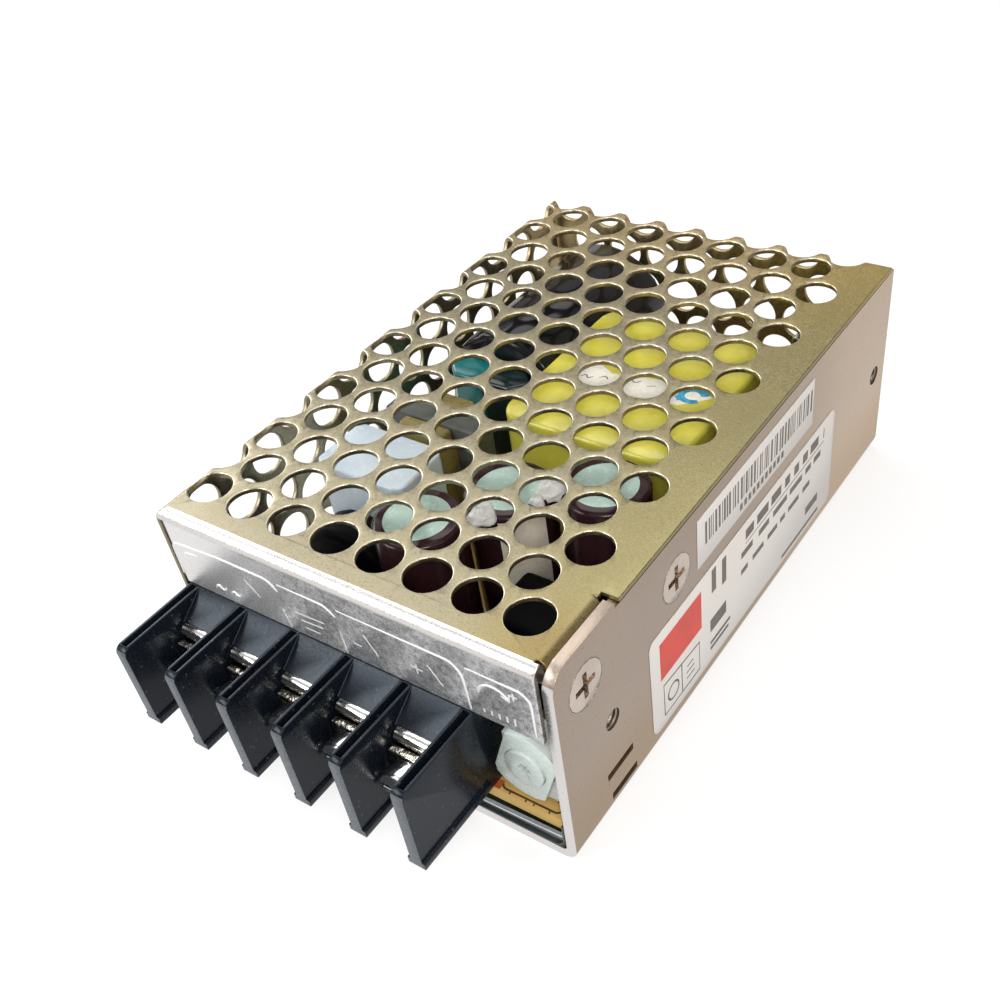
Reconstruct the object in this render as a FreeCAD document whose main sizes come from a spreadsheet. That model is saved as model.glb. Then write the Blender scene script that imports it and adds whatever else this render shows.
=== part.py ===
"""Enclosed 25 W class switching power supply in a folded, perforated sheet case.

The frame stands at the centre of the case's underside: +X runs across the terminals,
towards the wall with the labels, +Y runs from the terminals to the back, +Z is up.
All lengths are in millimetres. Sheet names that end in _at_x and _at_y are measured from
the case's left face and front face, and names that end in _at_z from its underside.
"""
import FreeCAD, Part
import math
import os
from types import SimpleNamespace

import Sketcher

Vector = FreeCAD.Vector
Rotation = FreeCAD.Rotation

doc = FreeCAD.newDocument("MeshCasePowerSupply")

# Driving dimensions: alias, value, what it is
SIZES = [
    ("case_width", 51.0, "outer width of the case"),
    ("case_length", 78.0, "outer length of the case, front flange to back wall"),
    ("case_height", 28.0, "outer height of the case"),
    ("cover_sheet", 0.6, "thickness of the perforated cover sheet"),
    ("chassis_sheet", 1.2, "thickness of the chassis sheet"),
    ("sheet_gap", 0.1, "clearance between the two folded sheets"),
    ("cover_bend", 1.2, "outer bend radius of the cover"),
    ("chassis_bend", 1.8, "outer bend radius of the chassis"),
    ("flange_height", 10.0, "height of the cover's front flange"),
    ("flange_short", 1.9, "how far the flange stops short of the case's right face"),
    ("tab_length", 9.4, "length of the cover's inner tab along the right wall"),
    ("tab_front", 1.2, "gap from the front face to the inner tab"),
    ("tab_height", 10.5, "height of the inner tab from the cover's top face"),
    ("notch_length", 0.9, "length of the relief notch behind the inner tab"),
    ("notch_reach", 1.9, "how far the relief notch reaches in from the case's right face"),
    ("seam_gap", 0.2, "open seam where two walls of the cover meet"),
    ("mesh_pitch", 6.0, "spacing of the mesh holes along a row"),
    ("mesh_hole", 4.95, "diameter of a mesh hole"),
    ("mesh_at_x", 3.0, "first hole of an even row"),
    ("mesh_at_y", 5.7, "first row of mesh holes"),
    ("mesh_bend_shift", 0.5, "how much lower a fold leaves the holes of a wall"),
    ("lip_height", 7.0, "height of the chassis lips inside the cover"),
    ("lip_inset", 6.0, "how far each lip stays from the corners"),
    ("wall_top_radius", 2.5, "radius of the right wall's upper front corner"),
    ("thread_radius", 1.25, "open radius of a tapped M3 hole"),
    ("screw_radius", 1.5, "radius of an M3 screw"),
    ("thread_fit", 0.02, "play modelled between a screw and its own thread"),
    ("collar_radius", 2.1, "outer radius of the collar drawn round a tapped hole"),
    ("collar_length", 3.0, "thread length of a drawn collar, sheet included"),
    ("wall_hole_at_y", 8.6, "front mounting hole in the right wall"),
    ("wall_hole_spacing", 66.0, "distance between the right wall's mounting holes"),
    ("wall_hole_at_z", 13.7, "height of the right wall's mounting holes"),
    ("floor_hole_spacing", 55.0, "distance between the floor's mounting holes"),
    ("sunk_head_radius", 2.75, "head radius of a countersunk screw"),
    ("sunk_screw_length", 6.0, "length of a countersunk screw"),
    ("recess_depth", 1.0, "depth of a cross recess"),
    ("recess_width", 0.7, "width of a cross recess"),
    ("cover_screw_at_y", 4.9, "cover screw in the right wall"),
    ("cover_screw_drop", 5.5, "cover screw below the case's top"),
    ("rectifier_screw_at_y", 22.0, "rectifier screw in the right wall"),
    ("rectifier_screw_drop", 6.4, "rectifier screw below the case's top"),
    ("slot_length", 5.0, "length of the pressed slots in the right wall"),
    ("slot_width", 1.0, "width of the pressed slots"),
    ("slot_at_y", 9.25, "middle of the pressed slots"),
    ("slot_stagger", 0.5, "how far the lower pressed slot sits behind the upper one"),
    ("ledge_height", 1.0, "height of the ledges that hold the board's edge"),
    ("pocket_depth", 0.8, "depth of the pressed pocket in front of the upper ledge"),
    ("ledge_reach", 0.8, "how far the pressed ledges reach in from the wall"),
    ("board_underside", 4.0, "height of the circuit board's underside"),
    ("board_thickness", 1.6, "thickness of the circuit board"),
    ("board_left", 2.4, "gap from the case's left face to the board"),
    ("board_right", 1.65, "gap from the case's right face to the board"),
    ("board_front", 0.4, "gap from the front face to the board"),
    ("board_back", 2.5, "gap from the back face to the board"),
    ("boss_radius", 2.6, "radius of the formed bosses under the board"),
    ("boss_inset_x", 5.6, "axis of the right boss from the case's right face"),
    ("boss_inset_y", 5.6, "axis of the bosses from the case's back face"),
    ("left_boss_at_x", 21.2, "axis of the left boss"),
    ("pan_head_radius", 2.75, "head radius of a board screw"),
    ("pan_head_height", 1.9, "head height of a board screw"),
    ("insulator_sheet", 0.3, "thickness of the insulating sheet"),
    ("insulator_bend", 1.6, "outer bend radius of the insulating sheet"),
    ("insulator_rise", 3.9, "height of the insulating sheet's upturned edge"),
    ("label_sheet", 0.1, "thickness of the labels"),
    ("rating_label_at_y", 15.9, "front edge of the rating label"),
    ("rating_label_raise", 0.35, "how far the rating label sits above the middle of its space"),
    ("rating_label_length", 45.6, "length of the rating label"),
    ("rating_label_height", 14.5, "height of the rating label"),
    ("label_corner", 1.2, "corner radius of the rating label"),
    ("serial_label_at_y", 26.3, "front edge of the serial label"),
    ("serial_label_drop", 2.3, "upper edge of the serial label below the case's top"),
    ("serial_label_length", 28.2, "length of the serial label"),
    ("serial_label_height", 6.5, "height of the serial label"),
    ("bay_pitch", 7.62, "spacing of the terminals"),
    ("fin_thickness", 1.5, "thickness of a terminal fin"),
    ("fin_reach", 11.3, "how far the fins stand out of the case"),
    ("fin_bottom", 6.2, "lower edge of the fins"),
    ("fin_corner", 1.0, "radius of a fin's upper front corner"),
    ("fin_foot_height", 0.9, "height of the thicker foot along a fin"),
    ("fin_foot_step", 0.35, "how far the foot stands out of the fin's faces"),
    ("fin_slot_width", 0.8, "width of the slot in a fin's top edge"),
    ("fin_slot_depth", 7.0, "depth of the slot in a fin's top edge"),
    ("fin_slot_end", 0.8, "wall left at the slot's front end"),
    ("block_at_x", 1.3, "left face of the terminal block"),
    ("block_clear", 0.1, "gap between the terminal block and the flange"),
    ("block_back", 4.2, "back face of the terminal block, behind the front face"),
    ("block_rise", 1.5, "how far the block rises behind the flange"),
    ("ramp_reach", 3.5, "how far the block's ramp stands out of the case"),
    ("ramp_drop", 2.4, "how far the ramp falls from the flange to its edge"),
    ("shelf_reach", 5.6, "how far the block's lower shelf stands out of the case"),
    ("shelf_thickness", 0.8, "thickness of the lower shelf"),
    ("strip_thickness", 0.9, "thickness of a contact strip"),
    ("strip_width", 5.7, "width of a contact strip"),
    ("strip_fit", 0.05, "clearance between a contact strip and its channel"),
    ("strip_clear", 0.7, "gap between a contact strip and the shelf under it"),
    ("strip_lip", 0.5, "plastic left between a contact strip and the ramp's edge"),
    ("pin_width", 1.6, "width of a contact's pin"),
    ("pin_at_y", 2.0, "front face of the contact pins, behind the front face"),
    ("pin_below", 1.1, "length of the pins under the board"),
    ("terminal_screw_raise", 0.5, "how far the terminal screws sit above the middle of their bay"),
    ("terminal_thread_fit", 0.05, "running clearance of a terminal screw in its thread"),
    ("terminal_head_radius", 2.75, "head radius of a terminal screw"),
    ("terminal_head_height", 2.3, "head height of a terminal screw"),
    ("terminal_tail", 4.4, "length of a terminal screw behind its contact strip"),
    ("tail_pocket", 0.4, "clearance round the tail of a terminal screw"),
    ("washer_side", 5.6, "side of a square clamp washer"),
    ("washer_thickness", 0.9, "thickness of a clamp washer"),
    ("washer_seat", 0.2, "gap from a clamp washer to its contact strip"),
    ("head_gap", 0.05, "gap from a screw's head to its clamp washer"),
    ("washer_fit", 0.15, "clearance between a clamp washer and its screw"),
    ("trimmer_at_x", 45.3, "trimmer axis"),
    ("trimmer_at_z", 11.1, "trimmer axis"),
    ("trimmer_radius", 4.7, "radius of the trimmer's disc"),
    ("trimmer_flat", 3.4, "distance of the disc's two leaning flats from its axis"),
    ("trimmer_side", 3.9, "how far the disc reaches to each side"),
    ("trimmer_disc", 1.7, "thickness of the disc"),
    ("trimmer_block", 3.0, "half width of the housing behind the disc"),
    ("trimmer_front", 0.9, "front face of the trimmer body, behind the front face"),
    ("trimmer_depth", 4.2, "depth of the trimmer body"),
    ("rotor_radius", 2.4, "radius of the trimmer rotor"),
    ("rotor_slot", 0.75, "half length of the cross slot in the rotor"),
    ("rotor_depth", 2.6, "depth of the trimmer rotor"),
    ("rotor_proud", 0.3, "how far the rotor stands out of the trimmer body"),
    ("rotor_fit", 0.05, "running clearance of the rotor"),
    ("power_body_width", 10.2, "width of a power semiconductor"),
    ("power_body_height", 9.2, "height of a power semiconductor's moulding"),
    ("power_body_thickness", 4.5, "thickness of a power semiconductor"),
    ("power_tab_thickness", 1.3, "thickness of its metal tab"),
    ("power_tab_height", 6.4, "height of its metal tab above the moulding"),
    ("power_hole_drop", 2.9, "tab hole below the tab's upper edge"),
    ("power_lead_width", 0.9, "width of a lead"),
    ("power_lead_pitch", 2.54, "spacing of the leads"),
    ("pad_thickness", 0.25, "thickness of the rectifier's insulating pad"),
    ("nut_flats", 5.5, "width across the flats of the rectifier nut"),
    ("nut_height", 2.4, "height of the rectifier nut"),
    ("transistor_at_y", 64.5, "switching transistor axis"),
    ("clip_sheet", 0.5, "thickness of the transistor's spring clip"),
    ("clip_width", 5.0, "width of the transistor's spring clip"),
    ("transformer_at_x", 20.4, "left face of the transformer"),
    ("transformer_at_y", 34.0, "front face of the transformer"),
    ("transformer_width", 23.6, "width of the taped transformer"),
    ("transformer_length", 26.0, "length of the taped transformer"),
    ("transformer_headroom", 2.6, "gap from the transformer to the cover"),
    ("transformer_corner", 3.0, "corner radius of the tape"),
    ("bobbin_base", 3.2, "height of the bobbin base"),
    ("bobbin_rim", 0.6, "how far the bobbin base stands out of the tape"),
    ("output_cap_radius", 5.0, "radius of the output capacitors"),
    ("output_cap_headroom", 2.0, "gap from the output capacitors to the cover"),
    ("output_cap_1_at_x", 24.4, "first output capacitor axis"),
    ("output_cap_1_at_y", 14.2, "first output capacitor axis"),
    ("output_cap_2_at_x", 30.4, "second output capacitor axis"),
    ("output_cap_2_at_y", 22.6, "second output capacitor axis"),
    ("output_cap_3_at_x", 39.4, "third output capacitor axis"),
    ("output_cap_3_at_y", 27.6, "third output capacitor axis"),
    ("bulk_cap_radius", 9.3, "radius of the bulk capacitor"),
    ("bulk_cap_length", 27.2, "length of the bulk capacitor"),
    ("bulk_cap_at_x", 10.7, "bulk capacitor axis"),
    ("bulk_cap_at_y", 48.2, "front end of the bulk capacitor"),
    ("x_cap_at_x", 3.4, "left face of the capacitor across the line"),
    ("x_cap_at_y", 19.6, "front face of the capacitor across the line"),
    ("x_cap_length", 13.2, "length of the capacitor across the line"),
    ("x_cap_width", 8.8, "width of the capacitor across the line"),
    ("x_cap_height", 16.4, "height of the capacitor across the line"),
    ("x_cap_corner", 1.0, "corner radius of the capacitor across the line"),
    ("choke_at_x", 3.6, "left face of the filter choke"),
    ("choke_at_y", 30.2, "front face of the filter choke"),
    ("choke_width", 14.0, "width of the filter choke's core"),
    ("choke_height", 15.8, "height of the filter choke"),
    ("choke_leg", 3.4, "thickness of the core's legs"),
    ("choke_winding_length", 8.6, "length of the taped winding in front of the core"),
    ("teal_cap_at_x", 5.0, "left face of the teal capacitor"),
    ("teal_cap_at_y", 43.0, "front face of the teal capacitor"),
    ("teal_cap_length", 12.0, "length of the teal capacitor"),
    ("teal_cap_width", 4.2, "width of the teal capacitor"),
    ("teal_cap_height", 15.4, "height of the teal capacitor"),
    ("disc_cap_at_x", 31.6, "blue disc capacitor axis"),
    ("disc_cap_at_y", 7.6, "middle of the blue disc capacitor"),
    ("disc_cap_radius", 4.6, "radius of the blue disc capacitor"),
    ("disc_cap_thickness", 3.4, "thickness of the blue disc capacitor"),
    ("varistor_at_x", 12.2, "surge varistor axis"),
    ("varistor_at_y", 15.4, "middle of the surge varistor"),
    ("varistor_radius", 6.6, "radius of the surge varistor"),
    ("varistor_thickness", 5.2, "thickness of the surge varistor"),
    ("thermistor_at_x", 15.6, "inrush thermistor axis"),
    ("thermistor_at_y", 7.6, "middle of the inrush thermistor"),
    ("thermistor_radius", 6.0, "radius of the inrush thermistor"),
    ("thermistor_thickness", 4.6, "thickness of the inrush thermistor"),
    ("disc_lift", 0.3, "gap between the board and a disc part"),
    ("fuse_at_x", 4.6, "fuse axis"),
    ("fuse_at_y", 5.2, "front end of the fuse's sleeve"),
    ("fuse_radius", 1.9, "radius of the fuse's sleeve"),
    ("fuse_length", 12.8, "length of the fuse's sleeve"),
    ("bridge_at_x", 21.2, "left face of the bridge rectifier"),
    ("bridge_at_y", 62.2, "front face of the bridge rectifier"),
    ("bridge_length", 8.4, "length of the bridge rectifier"),
    ("bridge_width", 6.4, "width of the bridge rectifier"),
    ("bridge_height", 3.4, "height of the bridge rectifier"),
    ("opto_at_x", 33.4, "left face of the optocoupler"),
    ("opto_at_y", 70.6, "front face of the optocoupler"),
    ("opto_length", 4.6, "length of the optocoupler"),
    ("opto_width", 3.9, "width of the optocoupler"),
    ("opto_height", 3.5, "height of the optocoupler"),
    ("aux_cap_at_x", 37.4, "auxiliary capacitor axis"),
    ("aux_cap_at_y", 65.4, "auxiliary capacitor axis"),
    ("aux_cap_radius", 3.15, "radius of the auxiliary capacitor"),
    ("aux_cap_height", 11.0, "height of the auxiliary capacitor"),
    ("output_choke_at_x", 38.0, "output choke axis"),
    ("output_choke_at_y", 15.2, "output choke axis"),
    ("output_choke_side", 8.0, "side of the output choke's end plates"),
    ("output_choke_height", 12.5, "height of the output choke"),
    ("output_choke_rim", 1.6, "thickness of the core's end plates"),
    ("output_choke_inset", 0.5, "how far the winding lies inside the end plates"),
    ("winding_fit", 0.05, "clearance between a winding and its core"),
]

MESH_COLUMNS = 8
MESH_ROWS = 14
MESH_SIDE_COLUMNS = 3
MESH_BACK_ROWS = 3
MESH_HOLE_SIDES = 6
ROUND_SIDES = 12
HEAD_SIDES = 16
CAN_SIDES = 20
TRIMMER_STEPS = 6
TRIMMER_LEAN = math.radians(23)
BAYS = 5
FACE_OUT = 1.0


class Size:
    """A length that also carries the sheet formula it comes from."""

    def __init__(self, number, formula):
        self.number = float(number)
        self.formula = formula

    def joined(self, sign, other, number):
        return Size(number, "(%s %s %s)" % (self.formula, sign, other.formula))

    def __add__(self, other):
        other = as_size(other)
        return self.joined("+", other, self.number + other.number)

    def __sub__(self, other):
        other = as_size(other)
        return self.joined("-", other, self.number - other.number)

    def __mul__(self, other):
        other = as_size(other)
        return self.joined("*", other, self.number * other.number)

    def __truediv__(self, other):
        other = as_size(other)
        return self.joined("/", other, self.number / other.number)

    def __radd__(self, other):
        return as_size(other) + self

    def __rsub__(self, other):
        return as_size(other) - self

    def __rmul__(self, other):
        return as_size(other) * self

    def __neg__(self):
        return 0 - self


def as_size(amount):
    """Give a plain number the form of a Size."""
    if isinstance(amount, Size):
        return amount
    return Size(amount, "(%r)" % float(amount))


def fill_sheet():
    """Write the driving dimensions into the spreadsheet and hand them out by alias."""
    sheet = doc.addObject("Spreadsheet::Sheet", "Sizes")
    given = SimpleNamespace()
    for row, (alias, number, note) in enumerate(SIZES, start=1):
        sheet.set("A%d" % row, note)
        sheet.set("B%d" % row, str(number))
        sheet.setAlias("B%d" % row, alias)
        setattr(given, alias, Size(number, "Sizes." + alias))
    doc.recompute()
    return given


S = fill_sheet()

TURNS = {
    "+X": Rotation(Vector(0, 0, 1), Vector(1, 0, 0)),
    "-X": Rotation(Vector(0, 0, 1), Vector(-1, 0, 0)),
    "+Y": Rotation(Vector(0, 0, 1), Vector(0, 1, 0)),
    "-Y": Rotation(Vector(0, 0, 1), Vector(0, -1, 0)),
    "+Z": Rotation(),
    "-Z": Rotation(Vector(0, 0, 1), Vector(0, 0, -1)),
}


def bind(thing, **sizes):
    """Bind properties of an object to the sheet."""
    for name, amount in sizes.items():
        thing.setExpression(name, as_size(amount).formula)


def place(thing, spot, turn=Rotation()):
    """Put an object at a spot of three sizes, turned by a fixed rotation."""
    x, y, z = [as_size(amount) for amount in spot]
    thing.Placement = FreeCAD.Placement(Vector(x.number, y.number, z.number), turn)
    thing.setExpression("Placement.Base.x", x.formula)
    thing.setExpression("Placement.Base.y", y.formula)
    thing.setExpression("Placement.Base.z", z.formula)
    return thing


def box(name, spot, span):
    """A box from its lowest corner and its three lengths."""
    thing = doc.addObject("Part::Box", name)
    bind(thing, Length=span[0], Width=span[1], Height=span[2])
    return place(thing, spot)


def box_between(name, low, high):
    """A box from its lowest and highest corners."""
    span = [as_size(top) - bottom for bottom, top in zip(low, high)]
    return box(name, low, span)


def cylinder(name, spot, axis, radius, length):
    """A cylinder that starts at a spot and runs along an axis."""
    thing = doc.addObject("Part::Cylinder", name)
    bind(thing, Radius=radius, Height=length)
    return place(thing, spot, TURNS[axis])


def cone(name, spot, axis, radius, end_radius, length, within=False):
    """A small cone with few flat sides that starts with one radius and ends with another."""
    share = 1 if within else math.cos(math.pi / HEAD_SIDES)
    rings = []
    for reach, size in ((0, radius.number), (length.number, end_radius.number)):
        angles = [2 * math.pi * side / HEAD_SIDES for side in range(HEAD_SIDES)]
        rings.append([Vector(math.cos(a), math.sin(a), 0) * (size / share) + Vector(0, 0, reach)
                      for a in angles])
    loops = [rings[0], rings[1]]
    for side in range(HEAD_SIDES):
        after = (side + 1) % HEAD_SIDES
        loops.append([rings[0][side], rings[0][after], rings[1][after], rings[1][side]])
    faces = [Part.Face(Part.makePolygon(loop + loop[:1])) for loop in loops]
    shell = Part.makeShell(faces)
    shell.sewShape()
    thing = doc.addObject("Part::Feature", name)
    thing.Shape = Part.makeSolid(shell)
    return place(thing, spot, TURNS[axis])


def prism(name, spot, axis, radius, length, sides=ROUND_SIDES, within=False):
    """A small or hidden round piece with few sides: its flats lie at the radius or, within it,
    its corners do."""
    thing = doc.addObject("Part::Prism", name)
    thing.Polygon = sides
    share = 1 if within else math.cos(math.pi / sides)
    bind(thing, Circumradius=as_size(radius) / share, Height=length)
    return place(thing, spot, TURNS[axis])


def fuse(name, *things):
    """One solid from several that meet."""
    thing = doc.addObject("Part::MultiFuse", name)
    thing.Shapes = list(things)
    thing.Refine = True
    return thing


def cut(name, base, *tools):
    """A solid less one or more tools."""
    thing = doc.addObject("Part::Cut", name)
    thing.Base = base
    thing.Tool = tools[0] if len(tools) == 1 else gather(name + "_tools", *tools)
    return thing


def gather(name, *things):
    """Several solids held together without being joined."""
    thing = doc.addObject("Part::Compound", name)
    thing.Links = list(things)
    return thing


def hold_point(sketch, geometry, point, x, y):
    """Fix a sketch point at two sizes from the sketch's origin."""
    for kind, amount, axis in (("DistanceX", x, -2), ("DistanceY", y, -1)):
        if amount.number == 0:
            sketch.addConstraint(Sketcher.Constraint("PointOnObject", geometry, point, axis))
            continue
        rule = sketch.addConstraint(Sketcher.Constraint(kind, -1, 1, geometry, point, amount.number))
        sketch.setExpression("Constraints[%d]" % rule, amount.formula)


def tangent_points(before, corner, after, radius):
    """Where a round of a given radius leaves the two lines that meet at a corner."""
    back = (before - corner).normalize()
    ahead = (after - corner).normalize()
    half_angle = back.getAngle(ahead) / 2
    reach = radius / math.tan(half_angle)
    middle = corner + (back + ahead).normalize() * (radius / math.sin(half_angle))
    return corner + back * reach, corner + ahead * reach, middle


def draw_outline(sketch, corners):
    """Draw a closed outline whose corners are (x, y) or, where they are rounded, (x, y, radius)."""
    sizes = [[as_size(amount) for amount in corner] for corner in corners]
    spots = [Vector(corner[0].number, corner[1].number, 0) for corner in sizes]
    count = len(sizes)
    ends = []
    for index, corner in enumerate(sizes):
        if len(corner) == 3:
            ends.append(tangent_points(spots[index - 1], spots[index], spots[(index + 1) % count],
                                       corner[2].number))
        else:
            ends.append((spots[index], spots[index], None))
    lines = []
    for index in range(count):
        line = Part.LineSegment(ends[index][1], ends[(index + 1) % count][0])
        lines.append(sketch.addGeometry(line))
    for index, corner in enumerate(sizes):
        before = lines[index - 1]
        after = lines[index]
        if len(corner) == 2:
            sketch.addConstraint(Sketcher.Constraint("Coincident", before, 2, after, 1))
            hold_point(sketch, after, 1, corner[0], corner[1])
            continue
        start, stop, middle = ends[index]
        forward = (spots[index] - start).cross(stop - spots[index]).z > 0
        first, last = (1, 2) if forward else (2, 1)
        bottom, top = (start, stop) if forward else (stop, start)
        circle = Part.Circle(middle, Vector(0, 0, 1), corner[2].number)
        arc = sketch.addGeometry(Part.ArcOfCircle(circle, circle.parameter(bottom),
                                                  circle.parameter(top)))
        sketch.addConstraint(Sketcher.Constraint("Tangent", before, 2, arc, first))
        sketch.addConstraint(Sketcher.Constraint("Tangent", arc, last, after, 1))
        rule = sketch.addConstraint(Sketcher.Constraint("Radius", arc, corner[2].number))
        sketch.setExpression("Constraints[%d]" % rule, corner[2].formula)
        mark = sketch.addGeometry(Part.Point(spots[index]), True)
        hold_point(sketch, mark, 1, corner[0], corner[1])
        sketch.addConstraint(Sketcher.Constraint("PointOnObject", mark, 1, before))
        sketch.addConstraint(Sketcher.Constraint("PointOnObject", mark, 1, after))


def sketched_body(name, plane, corners):
    """A body with one outline sketched on one of its own origin planes."""
    body = doc.addObject("PartDesign::Body", name)
    sketch = body.newObject("Sketcher::SketchObject", name + "_outline")
    own_planes = {feature.Role: feature for feature in body.Origin.OriginFeatures}
    sketch.AttachmentSupport = [(own_planes[plane], "")]
    sketch.MapMode = "FlatFace"
    draw_outline(sketch, corners)
    return body, sketch


def padded(name, plane, corners, length, spot):
    """A body padded from an outline: along +Y from XZ, +X from YZ and +Z from XY."""
    body, sketch = sketched_body(name, plane, corners)
    pad = body.newObject("PartDesign::Pad", name + "_pad")
    pad.Profile = sketch
    pad.Reversed = plane == "XZ_Plane"
    bind(pad, Length=length)
    return place(body, spot)


def turned(name, corners, spot, axis="+Y"):
    """A body turned about an axis from an outline of (radius, distance along the axis)."""
    body, sketch = sketched_body(name, "XY_Plane", corners)
    spin = body.newObject("PartDesign::Revolution", name + "_turn")
    spin.Profile = sketch
    spin.ReferenceAxis = (sketch, ["V_Axis"])
    spin.Angle = 360
    own_axis = Vector(0, 1, 0)
    wanted = TURNS[axis].multVec(Vector(0, 0, 1))
    return place(body, spot, Rotation(own_axis, wanted))


def rectangle(width, height, corner=None):
    """Corners of a rectangle with one corner at the origin."""
    ends = [(0, 0), (width, 0), (width, height), (0, height)]
    return ends if corner is None else [end + (corner,) for end in ends]


def cut_corners(width, height, corner):
    """A rectangle whose corners are cut off at 45 degrees."""
    far_x = as_size(width) - corner
    far_y = as_size(height) - corner
    return [(corner, 0), (far_x, 0), (width, corner), (width, far_y), (far_x, height),
            (corner, height), (0, far_y), (0, corner)]


nodes = []


def node(label, thing):
    """Name a finished sub-part."""
    thing.Label = label
    nodes.append((label, thing))
    return thing


left = S.case_width * -0.5
right = S.case_width * 0.5
front = S.case_length * -0.5
back = S.case_length * 0.5
wall_inside = right - S.chassis_sheet
cover_left_inside = left + S.cover_sheet
cover_back_inside = back - S.cover_sheet
cover_top_inside = S.case_height - S.cover_sheet
chassis_left = cover_left_inside + S.sheet_gap
chassis_back = cover_back_inside - S.sheet_gap
flange_bottom = S.case_height - S.flange_height
board_top = S.board_underside + S.board_thickness
tab_outside = wall_inside - S.sheet_gap
tab_inside = tab_outside - S.cover_sheet
tab_back = front + S.tab_front + S.tab_length
notch_back = tab_back + S.notch_length
own_thread = S.screw_radius + S.thread_fit
cover_screw_y = front + S.cover_screw_at_y
cover_screw_z = S.case_height - S.cover_screw_drop
rectifier_screw_y = front + S.rectifier_screw_at_y
rectifier_screw_z = S.case_height - S.rectifier_screw_drop
wall_hole_y = [front + S.wall_hole_at_y, front + S.wall_hole_at_y + S.wall_hole_spacing]
floor_hole_y = [S.floor_hole_spacing * -0.5, S.floor_hole_spacing * 0.5]
sunk_depth = S.sunk_head_radius - S.screw_radius
boss_spots = [
    (left + S.left_boss_at_x, back - S.boss_inset_y),
    (right - S.boss_inset_x, back - S.boss_inset_y),
]
serial_label_z = S.case_height - S.serial_label_drop - S.serial_label_height
rating_label_z = (serial_label_z - S.rating_label_height) * 0.5 + S.rating_label_raise


def mesh_prism(spot, along, across, depth):
    """One hole tool with the area of the round hole, between two directions of the sheet.

    It runs both ways from its spot. Over a fold, across is shorter than one, because the tool
    meets both of the folded faces at a slant there.
    """
    turn = 2 * math.pi / MESH_HOLE_SIDES
    radius = S.mesh_hole.number / 2 * math.sqrt(turn / math.sin(turn))
    normal = along.cross(across).normalize()
    ring = []
    for side in range(MESH_HOLE_SIDES + 1):
        angle = turn * (side + 0.5)
        point = along * (radius * math.cos(angle)) + across * (radius * math.sin(angle))
        ring.append(Vector(*spot) + point - normal * depth)
    return Part.Face(Part.makePolygon(ring)).extrude(normal * (2 * depth))


def mesh_hole_tools():
    """Staggered hole tools over the top, left and back of the cover, folds included."""
    row_step = S.mesh_pitch.number * math.sqrt(3) / 2
    x_left = left.number
    y_back = back.number
    top = S.case_height.number
    depth = S.cover_bend.number + FACE_OUT
    ahead, side, up = Vector(0, 1, 0), Vector(1, 0, 0), Vector(0, 0, 1)
    tools = []
    for row in range(MESH_ROWS):
        y = front.number + S.mesh_at_y.number + row * row_step
        odd = row % 2
        for column in range(MESH_COLUMNS - odd):
            x = x_left + S.mesh_at_x.number + (column + odd / 2) * S.mesh_pitch.number
            tools.append(mesh_prism((x, y, top), side, ahead, depth))
        if odd:
            tools.append(mesh_prism((x_left, y, top), ahead, (side + up) * 0.5, depth))
        for column in range(MESH_SIDE_COLUMNS):
            down = S.mesh_at_x.number + (column + odd / 2) * S.mesh_pitch.number
            z = top - S.mesh_bend_shift.number - down
            tools.append(mesh_prism((x_left, y, z), up, ahead, depth))
    for row in range(MESH_BACK_ROWS + 1):
        z = top - (S.mesh_bend_shift.number if row else 0) - row * row_step
        odd = (MESH_ROWS + row) % 2
        across = ahead - up if row == 0 else up * 2
        for column in range(MESH_COLUMNS - odd):
            x = x_left + S.mesh_at_x.number + (column + odd / 2) * S.mesh_pitch.number
            tools.append(mesh_prism((x, y_back, z), side, across * 0.5, depth))
    thing = doc.addObject("Part::Feature", "mesh_hole_tools")
    thing.Shape = Part.makeCompound(tools)
    return thing


def rounded_box(name, low, high, radius, sharp_side):
    """A box whose upper edges are rounded, all but the one on the side of +X."""
    block = box_between(name + "_block", low, high)
    doc.recompute()
    top = as_size(high[2]).number
    chosen = []
    for index, edge in enumerate(block.Shape.Edges, start=1):
        middle = edge.CenterOfMass
        if abs(middle.z - top) < 1e-6 and middle.x < as_size(sharp_side).number - 1e-6:
            chosen.append((index, radius.number, radius.number))
    thing = doc.addObject("Part::Fillet", name)
    thing.Base = block
    thing.Edges = chosen
    return thing


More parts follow.
